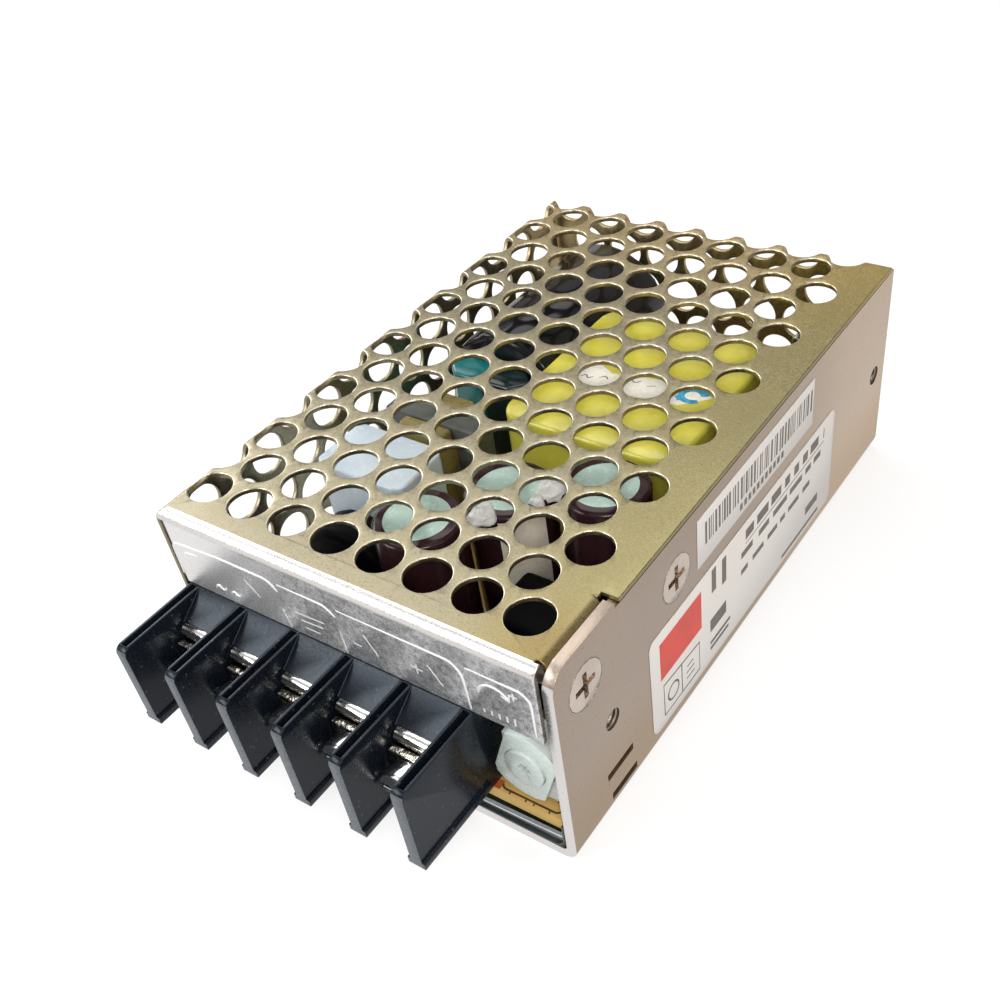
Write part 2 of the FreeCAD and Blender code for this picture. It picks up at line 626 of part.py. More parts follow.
def make_mesh_cover():
    """Top, left wall, back wall, front flange and inner tab: one folded perforated sheet."""
    outside = rounded_box("cover_outside", (left, front, S.sheet_gap), (right, back, S.case_height),
                          S.cover_bend, right)
    inside = rounded_box("cover_inside", (cover_left_inside, front + S.cover_sheet, -FACE_OUT),
                         (right + FACE_OUT, cover_back_inside, cover_top_inside),
                         S.cover_bend - S.cover_sheet, right + FACE_OUT)
    bend_bottom = S.case_height - S.cover_bend
    mouth = box_between("cover_front_mouth", (cover_left_inside, front - FACE_OUT, -FACE_OUT),
                        (right + FACE_OUT, front + S.cover_bend, flange_bottom))
    flange_end = box_between("cover_flange_end",
                             (right - S.flange_short, front - FACE_OUT, flange_bottom - FACE_OUT),
                             (right + FACE_OUT, front + S.cover_bend, S.case_height + FACE_OUT))
    front_seam = box_between("cover_front_seam",
                             (cover_left_inside, front - FACE_OUT, flange_bottom - FACE_OUT),
                             (cover_left_inside + S.seam_gap, front + S.cover_bend, bend_bottom))
    back_seam = box_between("cover_back_seam",
                            (left - FACE_OUT, cover_back_inside - S.seam_gap, -FACE_OUT),
                            (left + S.cover_bend, cover_back_inside, bend_bottom))
    back_end = box_between("cover_back_end",
                           (wall_inside - S.sheet_gap, back - S.cover_bend - FACE_OUT, -FACE_OUT),
                           (right + FACE_OUT, back + FACE_OUT, cover_top_inside))
    side_strip = box_between("cover_side_strip",
                             (tab_inside - S.cover_bend, front + S.tab_front, flange_bottom),
                             (right + FACE_OUT, tab_back, S.case_height + FACE_OUT))
    notch = box_between("cover_notch",
                        (right - S.notch_reach, tab_back - FACE_OUT, flange_bottom),
                        (right + FACE_OUT, notch_back, S.case_height + FACE_OUT))
    shell = cut("cover_shell", outside, inside, mouth, front_seam, back_seam, back_end, flange_end,
                side_strip, notch)
    bend_in = S.cover_bend - S.cover_sheet
    tab_low = S.case_height - S.tab_height
    tab_outline = [
        (0, bend_bottom + bend_in),
        (0, S.case_height),
        (S.cover_bend + S.cover_sheet, S.case_height, S.cover_bend),
        (S.cover_bend + S.cover_sheet, tab_low),
        (S.cover_bend, tab_low),
        (S.cover_bend, bend_bottom + bend_in, bend_in),
    ]
    tab = padded("cover_tab", "XZ_Plane", tab_outline, S.tab_length,
                 (tab_inside - S.cover_bend, front + S.tab_front, 0))
    sheet = fuse("cover_folded", shell, tab)
    screw_hole = prism("cover_tab_hole", (tab_inside - FACE_OUT, cover_screw_y, cover_screw_z),
                       "+X", own_thread, S.cover_sheet + 2 * FACE_OUT)
    return cut("mesh_cover", sheet, mesh_hole_tools(), screw_hole)


def make_chassis():
    """Floor and right wall, with low lips inside the cover, drawn threads and board bosses."""
    inner_bend = S.chassis_bend - S.chassis_sheet
    width = right - chassis_left
    profile = [
        (0, 0),
        (width, 0, S.chassis_bend),
        (width, S.case_height),
        (width - S.chassis_sheet, S.case_height),
        (width - S.chassis_sheet, S.chassis_sheet, inner_bend),
        (0, S.chassis_sheet),
    ]
    folded = padded("chassis_fold", "XZ_Plane", profile, S.case_length, (chassis_left, front, 0))
    lip_low = S.chassis_sheet * 0.5
    left_lip = box_between("chassis_left_lip", (chassis_left, front + S.lip_inset, lip_low),
                           (chassis_left + S.chassis_sheet, chassis_back - S.lip_inset, S.lip_height))
    back_lip = box_between("chassis_back_lip",
                           (left + S.lip_inset, chassis_back - S.chassis_sheet, lip_low),
                           (right - S.lip_inset, chassis_back, S.lip_height))
    solids = [folded, left_lip, back_lip]
    holes = []
    for number, y in enumerate(wall_hole_y, start=1):
        spot = (right, y, S.wall_hole_at_z)
        solids.append(prism("wall_collar_%d" % number, (wall_inside, y, S.wall_hole_at_z), "-X",
                            S.collar_radius, S.collar_length - S.chassis_sheet))
        holes.append(cylinder("wall_thread_%d" % number, spot, "-X", S.thread_radius,
                              S.collar_length + FACE_OUT))
    for number, y in enumerate(floor_hole_y, start=1):
        solids.append(prism("floor_collar_%d" % number, (0, y, S.chassis_sheet * 0.5), "+Z",
                            S.collar_radius, S.collar_length - S.chassis_sheet * 0.5))
        holes.append(cylinder("floor_thread_%d" % number, (0, y, 0), "+Z", S.thread_radius,
                              S.collar_length + FACE_OUT))
    for number, (x, y) in enumerate(boss_spots, start=1):
        solids.append(prism("board_boss_%d" % number, (x, y, S.chassis_sheet * 0.5), "+Z",
                            S.boss_radius, S.board_underside - S.chassis_sheet * 0.5))
        holes.append(prism("boss_thread_%d" % number, (x, y, 0), "+Z", own_thread,
                           S.board_underside + FACE_OUT))
    ledge_in = wall_inside - S.ledge_reach
    ledge_out = wall_inside + S.chassis_sheet * 0.5
    upper_front = front + S.slot_at_y - S.slot_length * 0.5
    lower_front = upper_front + S.slot_stagger
    lower_high = S.board_underside - S.ledge_height
    solids.append(box_between("ledge_under_board", (ledge_in, lower_front, lower_high),
                              (ledge_out, lower_front + S.slot_length, S.board_underside)))
    solids.append(box_between("ledge_over_board", (ledge_in, upper_front, board_top),
                              (ledge_out, upper_front + S.slot_length,
                               board_top + S.ledge_height)))
    holes.append(box("pressed_slot_low", (ledge_in, lower_front, lower_high - S.slot_width),
                     (S.case_width, S.slot_length, S.slot_width)))
    holes.append(box("pressed_pocket", (right - S.pocket_depth, upper_front, board_top),
                     (S.case_width, S.slot_length, S.slot_width)))
    wall_top = cover_top_inside - S.sheet_gap * 0.5
    holes.append(box_between("wall_top_step", (wall_inside - FACE_OUT, notch_back - S.notch_length,
                                               wall_top),
                             (right + FACE_OUT, back + FACE_OUT, S.case_height + FACE_OUT)))
    holes.append(box_between("floor_back_step", (left, chassis_back, -FACE_OUT),
                             (wall_inside, back + FACE_OUT, S.lip_height)))
    corner = padded("wall_front_corner", "YZ_Plane",
                    [(-FACE_OUT, 0), (-FACE_OUT, S.wall_top_radius + FACE_OUT),
                     (S.wall_top_radius, S.wall_top_radius + FACE_OUT),
                     (S.wall_top_radius, S.wall_top_radius), (0, S.wall_top_radius,
                                                             S.wall_top_radius * 0.99), (0, 0)],
                    S.chassis_sheet + 2 * FACE_OUT,
                    (wall_inside - FACE_OUT, front, S.case_height - S.wall_top_radius))
    holes.append(corner)
    for name, y, z in (("cover_screw", cover_screw_y, cover_screw_z),
                       ("rectifier_screw", rectifier_screw_y, rectifier_screw_z)):
        holes.append(cone(name + "_sink", (right, y, z), "-X", S.sunk_head_radius + S.thread_fit,
                          S.screw_radius + S.thread_fit, sunk_depth))
    return cut("chassis", fuse("chassis_solid", *solids), *holes)


def make_sunk_screw(name, spot, axis, length):
    """A countersunk screw with a cross recess; the spot is the middle of its head."""
    head = cone(name + "_head", spot, axis, S.sunk_head_radius, S.screw_radius, sunk_depth,
                within=True)
    shank = prism(name + "_shank", spot, axis, S.screw_radius, length, within=True)
    recess = cross_recess(name, spot, axis, S.sunk_head_radius * 1.2)
    return cut(name, fuse(name + "_whole", head, shank), *recess)


def cross_recess(name, spot, axis, span):
    """Two crossed grooves sunk into a screw head that looks along an axis."""
    x, y, z = [as_size(amount) for amount in spot]
    half = span * 0.5
    groove = S.recess_width * 0.5
    bars = []
    for number, (wide, tall) in enumerate(((half, groove), (groove, half)), start=1):
        label = "%s_recess_%d" % (name, number)
        if axis in ("+X", "-X"):
            inward = S.recess_depth if axis == "+X" else -S.recess_depth
            low_x, high_x = (x - FACE_OUT, x + inward) if axis == "+X" else (x + inward, x + FACE_OUT)
            bars.append(box_between(label, (low_x, y - wide, z - tall), (high_x, y + wide, z + tall)))
        else:
            bars.append(box_between(label, (x - wide, y - tall, z - S.recess_depth),
                                    (x + wide, y + tall, z + FACE_OUT)))
    return bars


def make_board_screws():
    """Pan head screws that hold the board to its bosses."""
    screws = []
    grip = S.board_underside + S.board_thickness - S.chassis_sheet
    for number, (x, y) in enumerate(boss_spots, start=1):
        name = "board_screw_%d" % number
        shank = prism(name + "_shank", (x, y, board_top), "-Z", S.screw_radius, grip, within=True)
        head = prism(name + "_head", (x, y, board_top), "+Z", S.pan_head_radius, S.pan_head_height)
        top = (x, y, board_top + S.pan_head_height)
        whole = fuse(name + "_whole", shank, head)
        screws.append(cut(name, whole, *cross_recess(name, top, "-Z", S.pan_head_radius * 1.2)))
    return gather("board_screws", *screws)


pin_front = front + S.pin_at_y
strip_back = front - S.ramp_reach
strip_front = strip_back - S.strip_thickness
block_left = left + S.block_at_x
block_width = S.bay_pitch * BAYS + S.fin_thickness
fin_top = flange_bottom - S.block_clear
ramp_edge = fin_top - S.ramp_drop
strip_top = ramp_edge - S.strip_lip
shelf_top = board_top + S.shelf_thickness
strip_bottom = shelf_top + S.strip_clear
terminal_screw_z = (shelf_top + strip_top) * 0.5 + S.terminal_screw_raise
washer_back = strip_front - S.washer_seat
washer_front = washer_back - S.washer_thickness
head_back = washer_front - S.head_gap
bay_x = [block_left + S.fin_thickness * 0.5 + S.bay_pitch * (bay + 0.5) for bay in range(BAYS)]


def make_board():
    """The circuit board with clearance for the screws and terminal pins."""
    low = (left + S.board_left, front + S.board_front, S.board_underside)
    high = (right - S.board_right, back - S.board_back, board_top)
    plain = box_between("board_plain", low, high)
    holes = []
    for number, (x, y) in enumerate(boss_spots, start=1):
        holes.append(prism("board_hole_%d" % number, (x, y, S.board_underside - FACE_OUT), "+Z",
                           own_thread, S.board_thickness + 2 * FACE_OUT))
    for number, x in enumerate(bay_x, start=1):
        holes.append(box_between("board_pin_hole_%d" % number,
                                 (x - S.pin_width * 0.5 - S.strip_fit, pin_front - S.strip_fit,
                                  S.board_underside - FACE_OUT),
                                 (x + S.pin_width * 0.5 + S.strip_fit,
                                  pin_front + S.strip_thickness + S.strip_fit,
                                  board_top + FACE_OUT)))
    return cut("circuit_board", plain, *holes)


def make_insulator():
    """Thin sheet on the chassis floor that turns up along the right wall."""
    low_x = chassis_left + S.chassis_sheet + S.sheet_gap
    width = wall_inside - S.sheet_gap * 0.5 - low_x
    inner_bend = S.insulator_bend - S.insulator_sheet
    profile = [
        (0, 0),
        (width, 0, S.insulator_bend),
        (width, S.insulator_rise),
        (width - S.insulator_sheet, S.insulator_rise),
        (width - S.insulator_sheet, S.insulator_sheet, inner_bend),
        (0, S.insulator_sheet),
    ]
    floor = S.chassis_sheet
    run = chassis_back - S.chassis_sheet - S.sheet_gap - front
    folded = padded("insulator_fold", "XZ_Plane", profile, run, (low_x, front, floor))
    holes = []
    round_gap = S.sheet_gap * 5
    for number, y in enumerate(floor_hole_y, start=1):
        reach = S.collar_radius + round_gap
        holes.append(box_between("insulator_collar_%d" % number, (-reach, y - reach, 0),
                                 (reach, y + reach, S.board_underside)))
    for number, (x, y) in enumerate(boss_spots, start=1):
        reach = S.boss_radius + round_gap
        holes.append(box_between("insulator_boss_%d" % number, (x - reach, y - reach, 0),
                                 (x + reach, y + reach, S.board_underside)))
    ledge_gap = S.sheet_gap * 3
    ledge_front = front + S.slot_at_y - S.slot_length * 0.5
    holes.append(box_between("insulator_ledge_gap",
                             (wall_inside - S.insulator_bend, ledge_front - ledge_gap,
                              S.board_underside - S.ledge_height - S.slot_width - ledge_gap),
                             (right, ledge_front + S.slot_length + S.slot_stagger + ledge_gap,
                              S.case_height)))
    return cut("insulating_sheet", folded, *holes)


def make_terminal_block():
    """The barrier moulding: one housing with a ramp over each bay, and slotted fins between."""
    foot = board_top
    housing_outline = [
        (S.block_back, foot),
        (S.block_back, flange_bottom + S.block_rise),
        (S.cover_sheet + S.block_clear, flange_bottom + S.block_rise),
        (S.cover_sheet + S.block_clear, fin_top),
        (0, fin_top),
        (-S.ramp_reach, ramp_edge),
        (-S.ramp_reach, foot + S.shelf_thickness),
        (-S.shelf_reach, foot + S.shelf_thickness),
        (-S.shelf_reach, foot),
    ]
    housing = padded("block_housing", "YZ_Plane", housing_outline, block_width,
                     (block_left, front, 0))
    fin_outline = [
        (0, S.fin_bottom),
        (0, fin_top),
        (-S.fin_reach, fin_top, S.fin_corner),
        (-S.fin_reach, S.fin_bottom),
    ]
    solids = [housing]
    tools = []
    for number in range(1, BAYS + 2):
        x = block_left + S.bay_pitch * (number - 1)
        solids.append(padded("fin_%d" % number, "YZ_Plane", fin_outline, S.fin_thickness,
                             (x, front, 0)))
        solids.append(box_between("fin_foot_%d" % number,
                                  (x - S.fin_foot_step, front - S.fin_reach, S.fin_bottom),
                                  (x + S.fin_thickness + S.fin_foot_step, front,
                                   S.fin_bottom + S.fin_foot_height)))
        middle = x + S.fin_thickness * 0.5
        tools.append(box_between("fin_slot_%d" % number,
                                 (middle - S.fin_slot_width * 0.5,
                                  front - S.fin_reach + S.fin_slot_end,
                                  fin_top - S.fin_slot_depth),
                                 (middle + S.fin_slot_width * 0.5, front - S.block_clear,
                                  fin_top + FACE_OUT)))
    half_strip = S.strip_width * 0.5 + S.strip_fit
    half_pin = S.pin_width * 0.5 + S.strip_fit
    channel_back = pin_front + S.strip_thickness + S.strip_fit
    for number, x in enumerate(bay_x, start=1):
        tools.append(box_between("strip_channel_%d" % number,
                                 (x - half_strip, strip_back - FACE_OUT,
                                  strip_top - S.strip_thickness - S.strip_fit),
                                 (x + half_strip, channel_back, strip_top + S.strip_fit)))
        tools.append(box_between("pin_channel_%d" % number,
                                 (x - half_pin, pin_front - S.strip_fit, foot - FACE_OUT),
                                 (x + half_pin, channel_back, strip_top)))
        tail = S.screw_radius + S.tail_pocket
        tools.append(box_between("tail_pocket_%d" % number,
                                 (x - tail, strip_back - FACE_OUT, terminal_screw_z - tail),
                                 (x + tail, strip_back + S.terminal_tail + S.tail_pocket,
                                  terminal_screw_z + tail)))
    return cut("terminal_block", fuse("block_solid", *solids), *tools)


def make_terminal_contact(number, x):
    """A contact strip: tapped plate, rolled top, leg over the housing and pin through the board."""
    thickness = S.strip_thickness
    reach = pin_front + thickness - strip_front
    bend = thickness
    outline = [
        (0, strip_bottom),
        (0, strip_top, bend),
        (reach, strip_top),
        (reach, strip_top - thickness * 1.5),
        (reach - thickness, strip_top - thickness * 1.5),
        (reach - thickness, strip_top - thickness),
        (thickness, strip_top - thickness),
        (thickness, strip_bottom),
    ]
    strip = padded("strip_%d" % number, "YZ_Plane", outline, S.strip_width,
                   (x - S.strip_width * 0.5, strip_front, 0))
    side_cuts = []
    for side, low, high in (("left", x - S.strip_width, x - S.pin_width * 0.5),
                            ("right", x + S.pin_width * 0.5, x + S.strip_width)):
        side_cuts.append(box_between("strip_%s_%d" % (side, number),
                                     (low, pin_front - thickness, strip_bottom),
                                     (high, pin_front + 2 * thickness, strip_top - thickness)))
    pin = box_between("strip_pin_%d" % number,
                      (x - S.pin_width * 0.5, pin_front, S.board_underside - S.pin_below),
                      (x + S.pin_width * 0.5, pin_front + thickness, strip_top - thickness))
    thread = prism("strip_thread_%d" % number, (x, strip_front - FACE_OUT, terminal_screw_z), "+Y",
                   S.screw_radius + S.terminal_thread_fit, thickness + 2 * FACE_OUT)
    trimmed = cut("strip_trimmed_%d" % number, strip, *side_cuts)
    return cut("terminal_contact_%d" % number, fuse("strip_whole_%d" % number, trimmed, pin), thread)


def make_clamp_washer(number, x):
    """A square clamp washer."""
    half = S.washer_side * 0.5
    z = terminal_screw_z
    plate = box_between("washer_plate_%d" % number, (x - half, washer_front, z - half),
                        (x + half, washer_back, z + half))
    hole = prism("washer_hole_%d" % number, (x, washer_front - FACE_OUT, z), "+Y",
                 S.screw_radius + S.washer_fit, S.washer_thickness + 2 * FACE_OUT)
    return cut("clamp_washer_%d" % number, plate, hole)


def make_terminal_screw(number, x):
    """A terminal screw: round head with a slot, shank and tail."""
    z = terminal_screw_z
    radius = S.terminal_head_radius
    face = head_back - S.terminal_head_height
    head = prism("terminal_head_%d" % number, (x, face, z), "+Y", radius, S.terminal_head_height,
                 HEAD_SIDES, within=True)
    shank = prism("terminal_shank_%d" % number, (x, head_back - FACE_OUT, z), "+Y", S.screw_radius,
                  strip_back + S.terminal_tail - head_back + FACE_OUT, within=True)
    groove = S.recess_width * 0.5
    slot = box_between("terminal_slot_%d" % number, (x - radius - FACE_OUT, face - FACE_OUT, z - groove),
                       (x + radius + FACE_OUT, face + S.recess_depth, z + groove))
    return cut("terminal_screw_%d" % number, fuse("terminal_whole_%d" % number, head, shank), slot)


trimmer_x = left + S.trimmer_at_x
trimmer_y = front + S.trimmer_front


def trimmer_outline():
    """Corners of the trimmer's disc: round, with two flats that lean and short upright ones."""
    flat = math.acos(S.trimmer_flat.number / S.trimmer_radius.number)
    corners = []
    for start in (flat, math.pi + flat):
        for step in range(TRIMMER_STEPS + 1):
            angle = start + (math.pi - 2 * flat) * step / TRIMMER_STEPS - TRIMMER_LEAN
            aside = S.trimmer_radius * math.cos(angle)
            if abs(aside.number) > S.trimmer_side.number:
                aside = S.trimmer_side * math.copysign(1, aside.number)
            corners.append((S.trimmer_side + aside,
                            S.trimmer_radius + S.trimmer_radius * math.sin(angle)))
    return corners


def make_trimmer_body():
    """The trimmer: a leaning disc in front of a housing that stands on the board."""
    disc = padded("trimmer_disc_body", "XZ_Plane", trimmer_outline(), S.trimmer_disc,
                  (trimmer_x - S.trimmer_side, trimmer_y, S.trimmer_at_z - S.trimmer_radius))
    housing = box_between("trimmer_housing",
                          (trimmer_x - S.trimmer_block, trimmer_y + S.trimmer_disc * 0.5, board_top),
                          (trimmer_x + S.trimmer_block, trimmer_y + S.trimmer_depth,
                           S.trimmer_at_z + S.trimmer_block))
    low = box_between("trimmer_low_gap",
                      (trimmer_x - S.trimmer_radius, trimmer_y - FACE_OUT, board_top - FACE_OUT),
                      (trimmer_x + S.trimmer_radius, trimmer_y + S.trimmer_disc,
                       S.trimmer_at_z - S.trimmer_radius + FACE_OUT * 0.1))
    bore = prism("trimmer_bore", (trimmer_x, trimmer_y - FACE_OUT, S.trimmer_at_z), "+Y",
                 S.rotor_radius + S.rotor_fit, S.rotor_depth + FACE_OUT, CAN_SIDES)
    housing = cut("trimmer_housing_cut", housing, low)
    return cut("trimmer_body", fuse("trimmer_whole", disc, housing), bore)


def make_trimmer_rotor():
    """The rotor that a screwdriver turns through the front."""
    face = trimmer_y - S.rotor_proud
    drum = prism("rotor_drum", (trimmer_x, face, S.trimmer_at_z), "+Y", S.rotor_radius,
                 S.rotor_depth + S.rotor_proud - S.rotor_fit, CAN_SIDES, within=True)
    long_half = S.rotor_slot
    short_half = S.recess_width * 0.5
    slots = []
    for number, (wide, tall) in enumerate(((long_half, short_half), (short_half, long_half)), start=1):
        slots.append(box_between("rotor_slot_%d" % number,
                                 (trimmer_x - wide, face - FACE_OUT, S.trimmer_at_z - tall),
                                 (trimmer_x + wide, face + S.recess_depth, S.trimmer_at_z + tall)))
    return cut("trimmer_rotor", drum, *slots)


def make_power_device(name, y, hole_z, wall_gap, with_hole):
    """A power semiconductor that stands against the right wall on three leads."""
    back_face = wall_inside - wall_gap
    half = S.power_body_width * 0.5
    tab_top = hole_z + S.power_hole_drop
    body_top = tab_top - S.power_tab_height
    body_low = body_top - S.power_body_height
    moulding = box_between(name + "_moulding", (back_face - S.power_body_thickness, y - half, body_low),
                           (back_face, y + half, body_top))
    tab = box_between(name + "_tab", (back_face - S.power_tab_thickness, y - half, body_top),
                      (back_face, y + half, tab_top))
    solids = [moulding, tab]
    middle = back_face - S.power_body_thickness * 0.5
    lead = S.power_lead_width * 0.5
    for number in (-1, 0, 1):
        lead_y = y + S.power_lead_pitch * number
        solids.append(box_between("%s_lead_%d" % (name, number + 2),
                                  (middle - lead * 0.6, lead_y - lead, board_top),
                                  (middle + lead * 0.6, lead_y + lead, body_low)))
    whole = fuse(name + "_whole", *solids)
    if not with_hole:
        return whole
    hole = prism(name + "_hole", (back_face + FACE_OUT, y, hole_z), "-X", own_thread,
                 S.power_tab_thickness + 2 * FACE_OUT)
    return cut(name, whole, hole)


def make_nut():
    """The hexagon nut behind the rectifier's tab."""
    near = wall_inside - S.pad_thickness - S.power_tab_thickness
    hexagon = prism("nut_hexagon", (near, rectifier_screw_y, rectifier_screw_z), "-X",
                    S.nut_flats * 0.5, S.nut_height, 6)
    thread = prism("nut_thread", (near + FACE_OUT, rectifier_screw_y, rectifier_screw_z), "-X",
                   own_thread, S.nut_height + 2 * FACE_OUT)
    return cut("rectifier_nut", hexagon, thread)


def make_pad():
    """The insulating pad between the rectifier and the wall."""
    half = S.power_body_width * 0.5
    top = rectifier_screw_z + S.power_hole_drop
    low = top - S.power_tab_height - S.power_body_height
    plate = box_between("pad_plate",
                        (wall_inside - S.pad_thickness, rectifier_screw_y - half, low),
                        (wall_inside, rectifier_screw_y + half, top))
    hole = prism("pad_hole", (right, rectifier_screw_y, rectifier_screw_z), "-X", own_thread,
                 S.chassis_sheet + S.pad_thickness + FACE_OUT)
    return cut("rectifier_pad", plate, hole)


transistor_y = front + S.transistor_at_y


def make_clip():
    """A spring clip that hooks over the wall's low ledge and presses on the transistor."""
    face = wall_inside - S.power_body_thickness
    body_top = rectifier_screw_z + S.power_hole_drop
    gap = S.sheet_gap
    outline = [
        (0, body_top + gap),
        (0, body_top + gap + S.clip_sheet),
        (-S.power_body_thickness - gap - S.clip_sheet, body_top + gap + S.clip_sheet,
         S.clip_sheet),
        (-S.power_body_thickness - gap - S.clip_sheet, body_top - S.power_body_height),
        (-S.power_body_thickness - gap, body_top - S.power_body_height),
        (-S.power_body_thickness - gap, body_top + gap),
    ]
    return padded("transistor_clip", "XZ_Plane", outline, S.clip_width,
                  (wall_inside, transistor_y - S.clip_width * 0.5, 0))


def make_can(name, x, y, radius, height):
    """An upright can capacitor."""
    return prism(name, (left + x, front + y, board_top), "+Z", radius, height, CAN_SIDES, True)


def make_disc(name, x, y, radius, thickness):
    """A coated disc part that stands upright just over the board."""
    centre_z = board_top + S.disc_lift + radius
    return prism(name, (left + x, front + y - thickness * 0.5, centre_z), "+Y", radius, thickness,
                 CAN_SIDES, True)


def make_block(name, x, y, length, width, height, corner):
    """A block with cut upright edges that stands on the board."""
    return padded(name, "XY_Plane", cut_corners(length, width, corner), height,
                  (left + x, front + y, board_top))


def make_bulk_capacitor():
    """The large can that lies along the left side."""
    return prism("bulk_capacitor", (left + S.bulk_cap_at_x, front + S.bulk_cap_at_y,
                                    board_top + S.bulk_cap_radius),
                 "+Y", S.bulk_cap_radius, S.bulk_cap_length, CAN_SIDES, True)


def make_choke_core():
    """The closed ferrite frame of the filter choke, upright across the case."""
    x = left + S.choke_at_x
    y = front + S.choke_at_y + S.choke_winding_length * 0.5 - S.choke_leg * 0.5
    z = board_top
    outer = box("choke_frame", (x, y, z), (S.choke_width, S.choke_leg, S.choke_height))
    window = box_between("choke_window", (x + S.choke_leg, y - FACE_OUT, z + S.choke_leg),
                         (x + S.choke_width - S.choke_leg, y + S.choke_leg + FACE_OUT,
                          z + S.choke_height - S.choke_leg))
    return cut("choke_core", outer, window)


def make_choke_winding():
    """The taped winding round the choke's middle, open where the core passes."""
    x = left + S.choke_at_x + S.choke_leg + S.winding_fit
    y = front + S.choke_at_y
    z = board_top
    span = S.choke_width - 2 * S.choke_leg - 2 * S.winding_fit
    outline = cut_corners(span, S.choke_winding_length, S.choke_leg * 0.3)
    block = padded("choke_block", "XY_Plane", outline, S.choke_height - 2 * S.winding_fit,
                   (x, y, z))
    fit = S.winding_fit
    core_y = y + S.choke_winding_length * 0.5 - S.choke_leg * 0.5
    slots = []
    for name, low, high in (("low", -FACE_OUT, S.choke_leg + fit),
                            ("high", S.choke_height - S.choke_leg - fit, S.choke_height + FACE_OUT)):
        slots.append(box_between("choke_slot_" + name, (x - FACE_OUT, core_y - fit, z + low),
                                 (x + span + FACE_OUT, core_y + S.choke_leg + fit, z + high)))
    return cut("choke_winding", block, *slots)


def upright_block(name, x, y, low, high, side):
    """A square block on an axis, between two heights."""
    half = side * 0.5
    return box_between(name, (x - half, y - half, low), (x + half, y + half, high))


def make_output_choke():
    """A bobbin core with its winding between two square end plates."""
    x = left + S.output_choke_at_x
    y = front + S.output_choke_at_y
    rim_low = board_top + S.output_choke_rim
    top = board_top + S.output_choke_height
    rim_high = top - S.output_choke_rim
    side = S.output_choke_side
    neck = side * 0.5
    core = fuse("output_choke_core", upright_block("choke_foot", x, y, board_top, rim_low, side),
                upright_block("choke_neck", x, y, rim_low, rim_high, neck),
                upright_block("choke_cap", x, y, rim_high, top, side))
    fit = S.winding_fit
    outer = side - 2 * S.output_choke_inset
    coil_block = padded("coil_block", "XY_Plane", cut_corners(outer, outer, outer * 0.25),
                        rim_high - rim_low - 2 * fit, (x - outer * 0.5, y - outer * 0.5,
                                                       rim_low + fit))
    bore = upright_block("coil_bore", x, y, rim_low - FACE_OUT, rim_high + FACE_OUT, neck + 2 * fit)
    return core, cut("output_choke_coil", coil_block, bore)


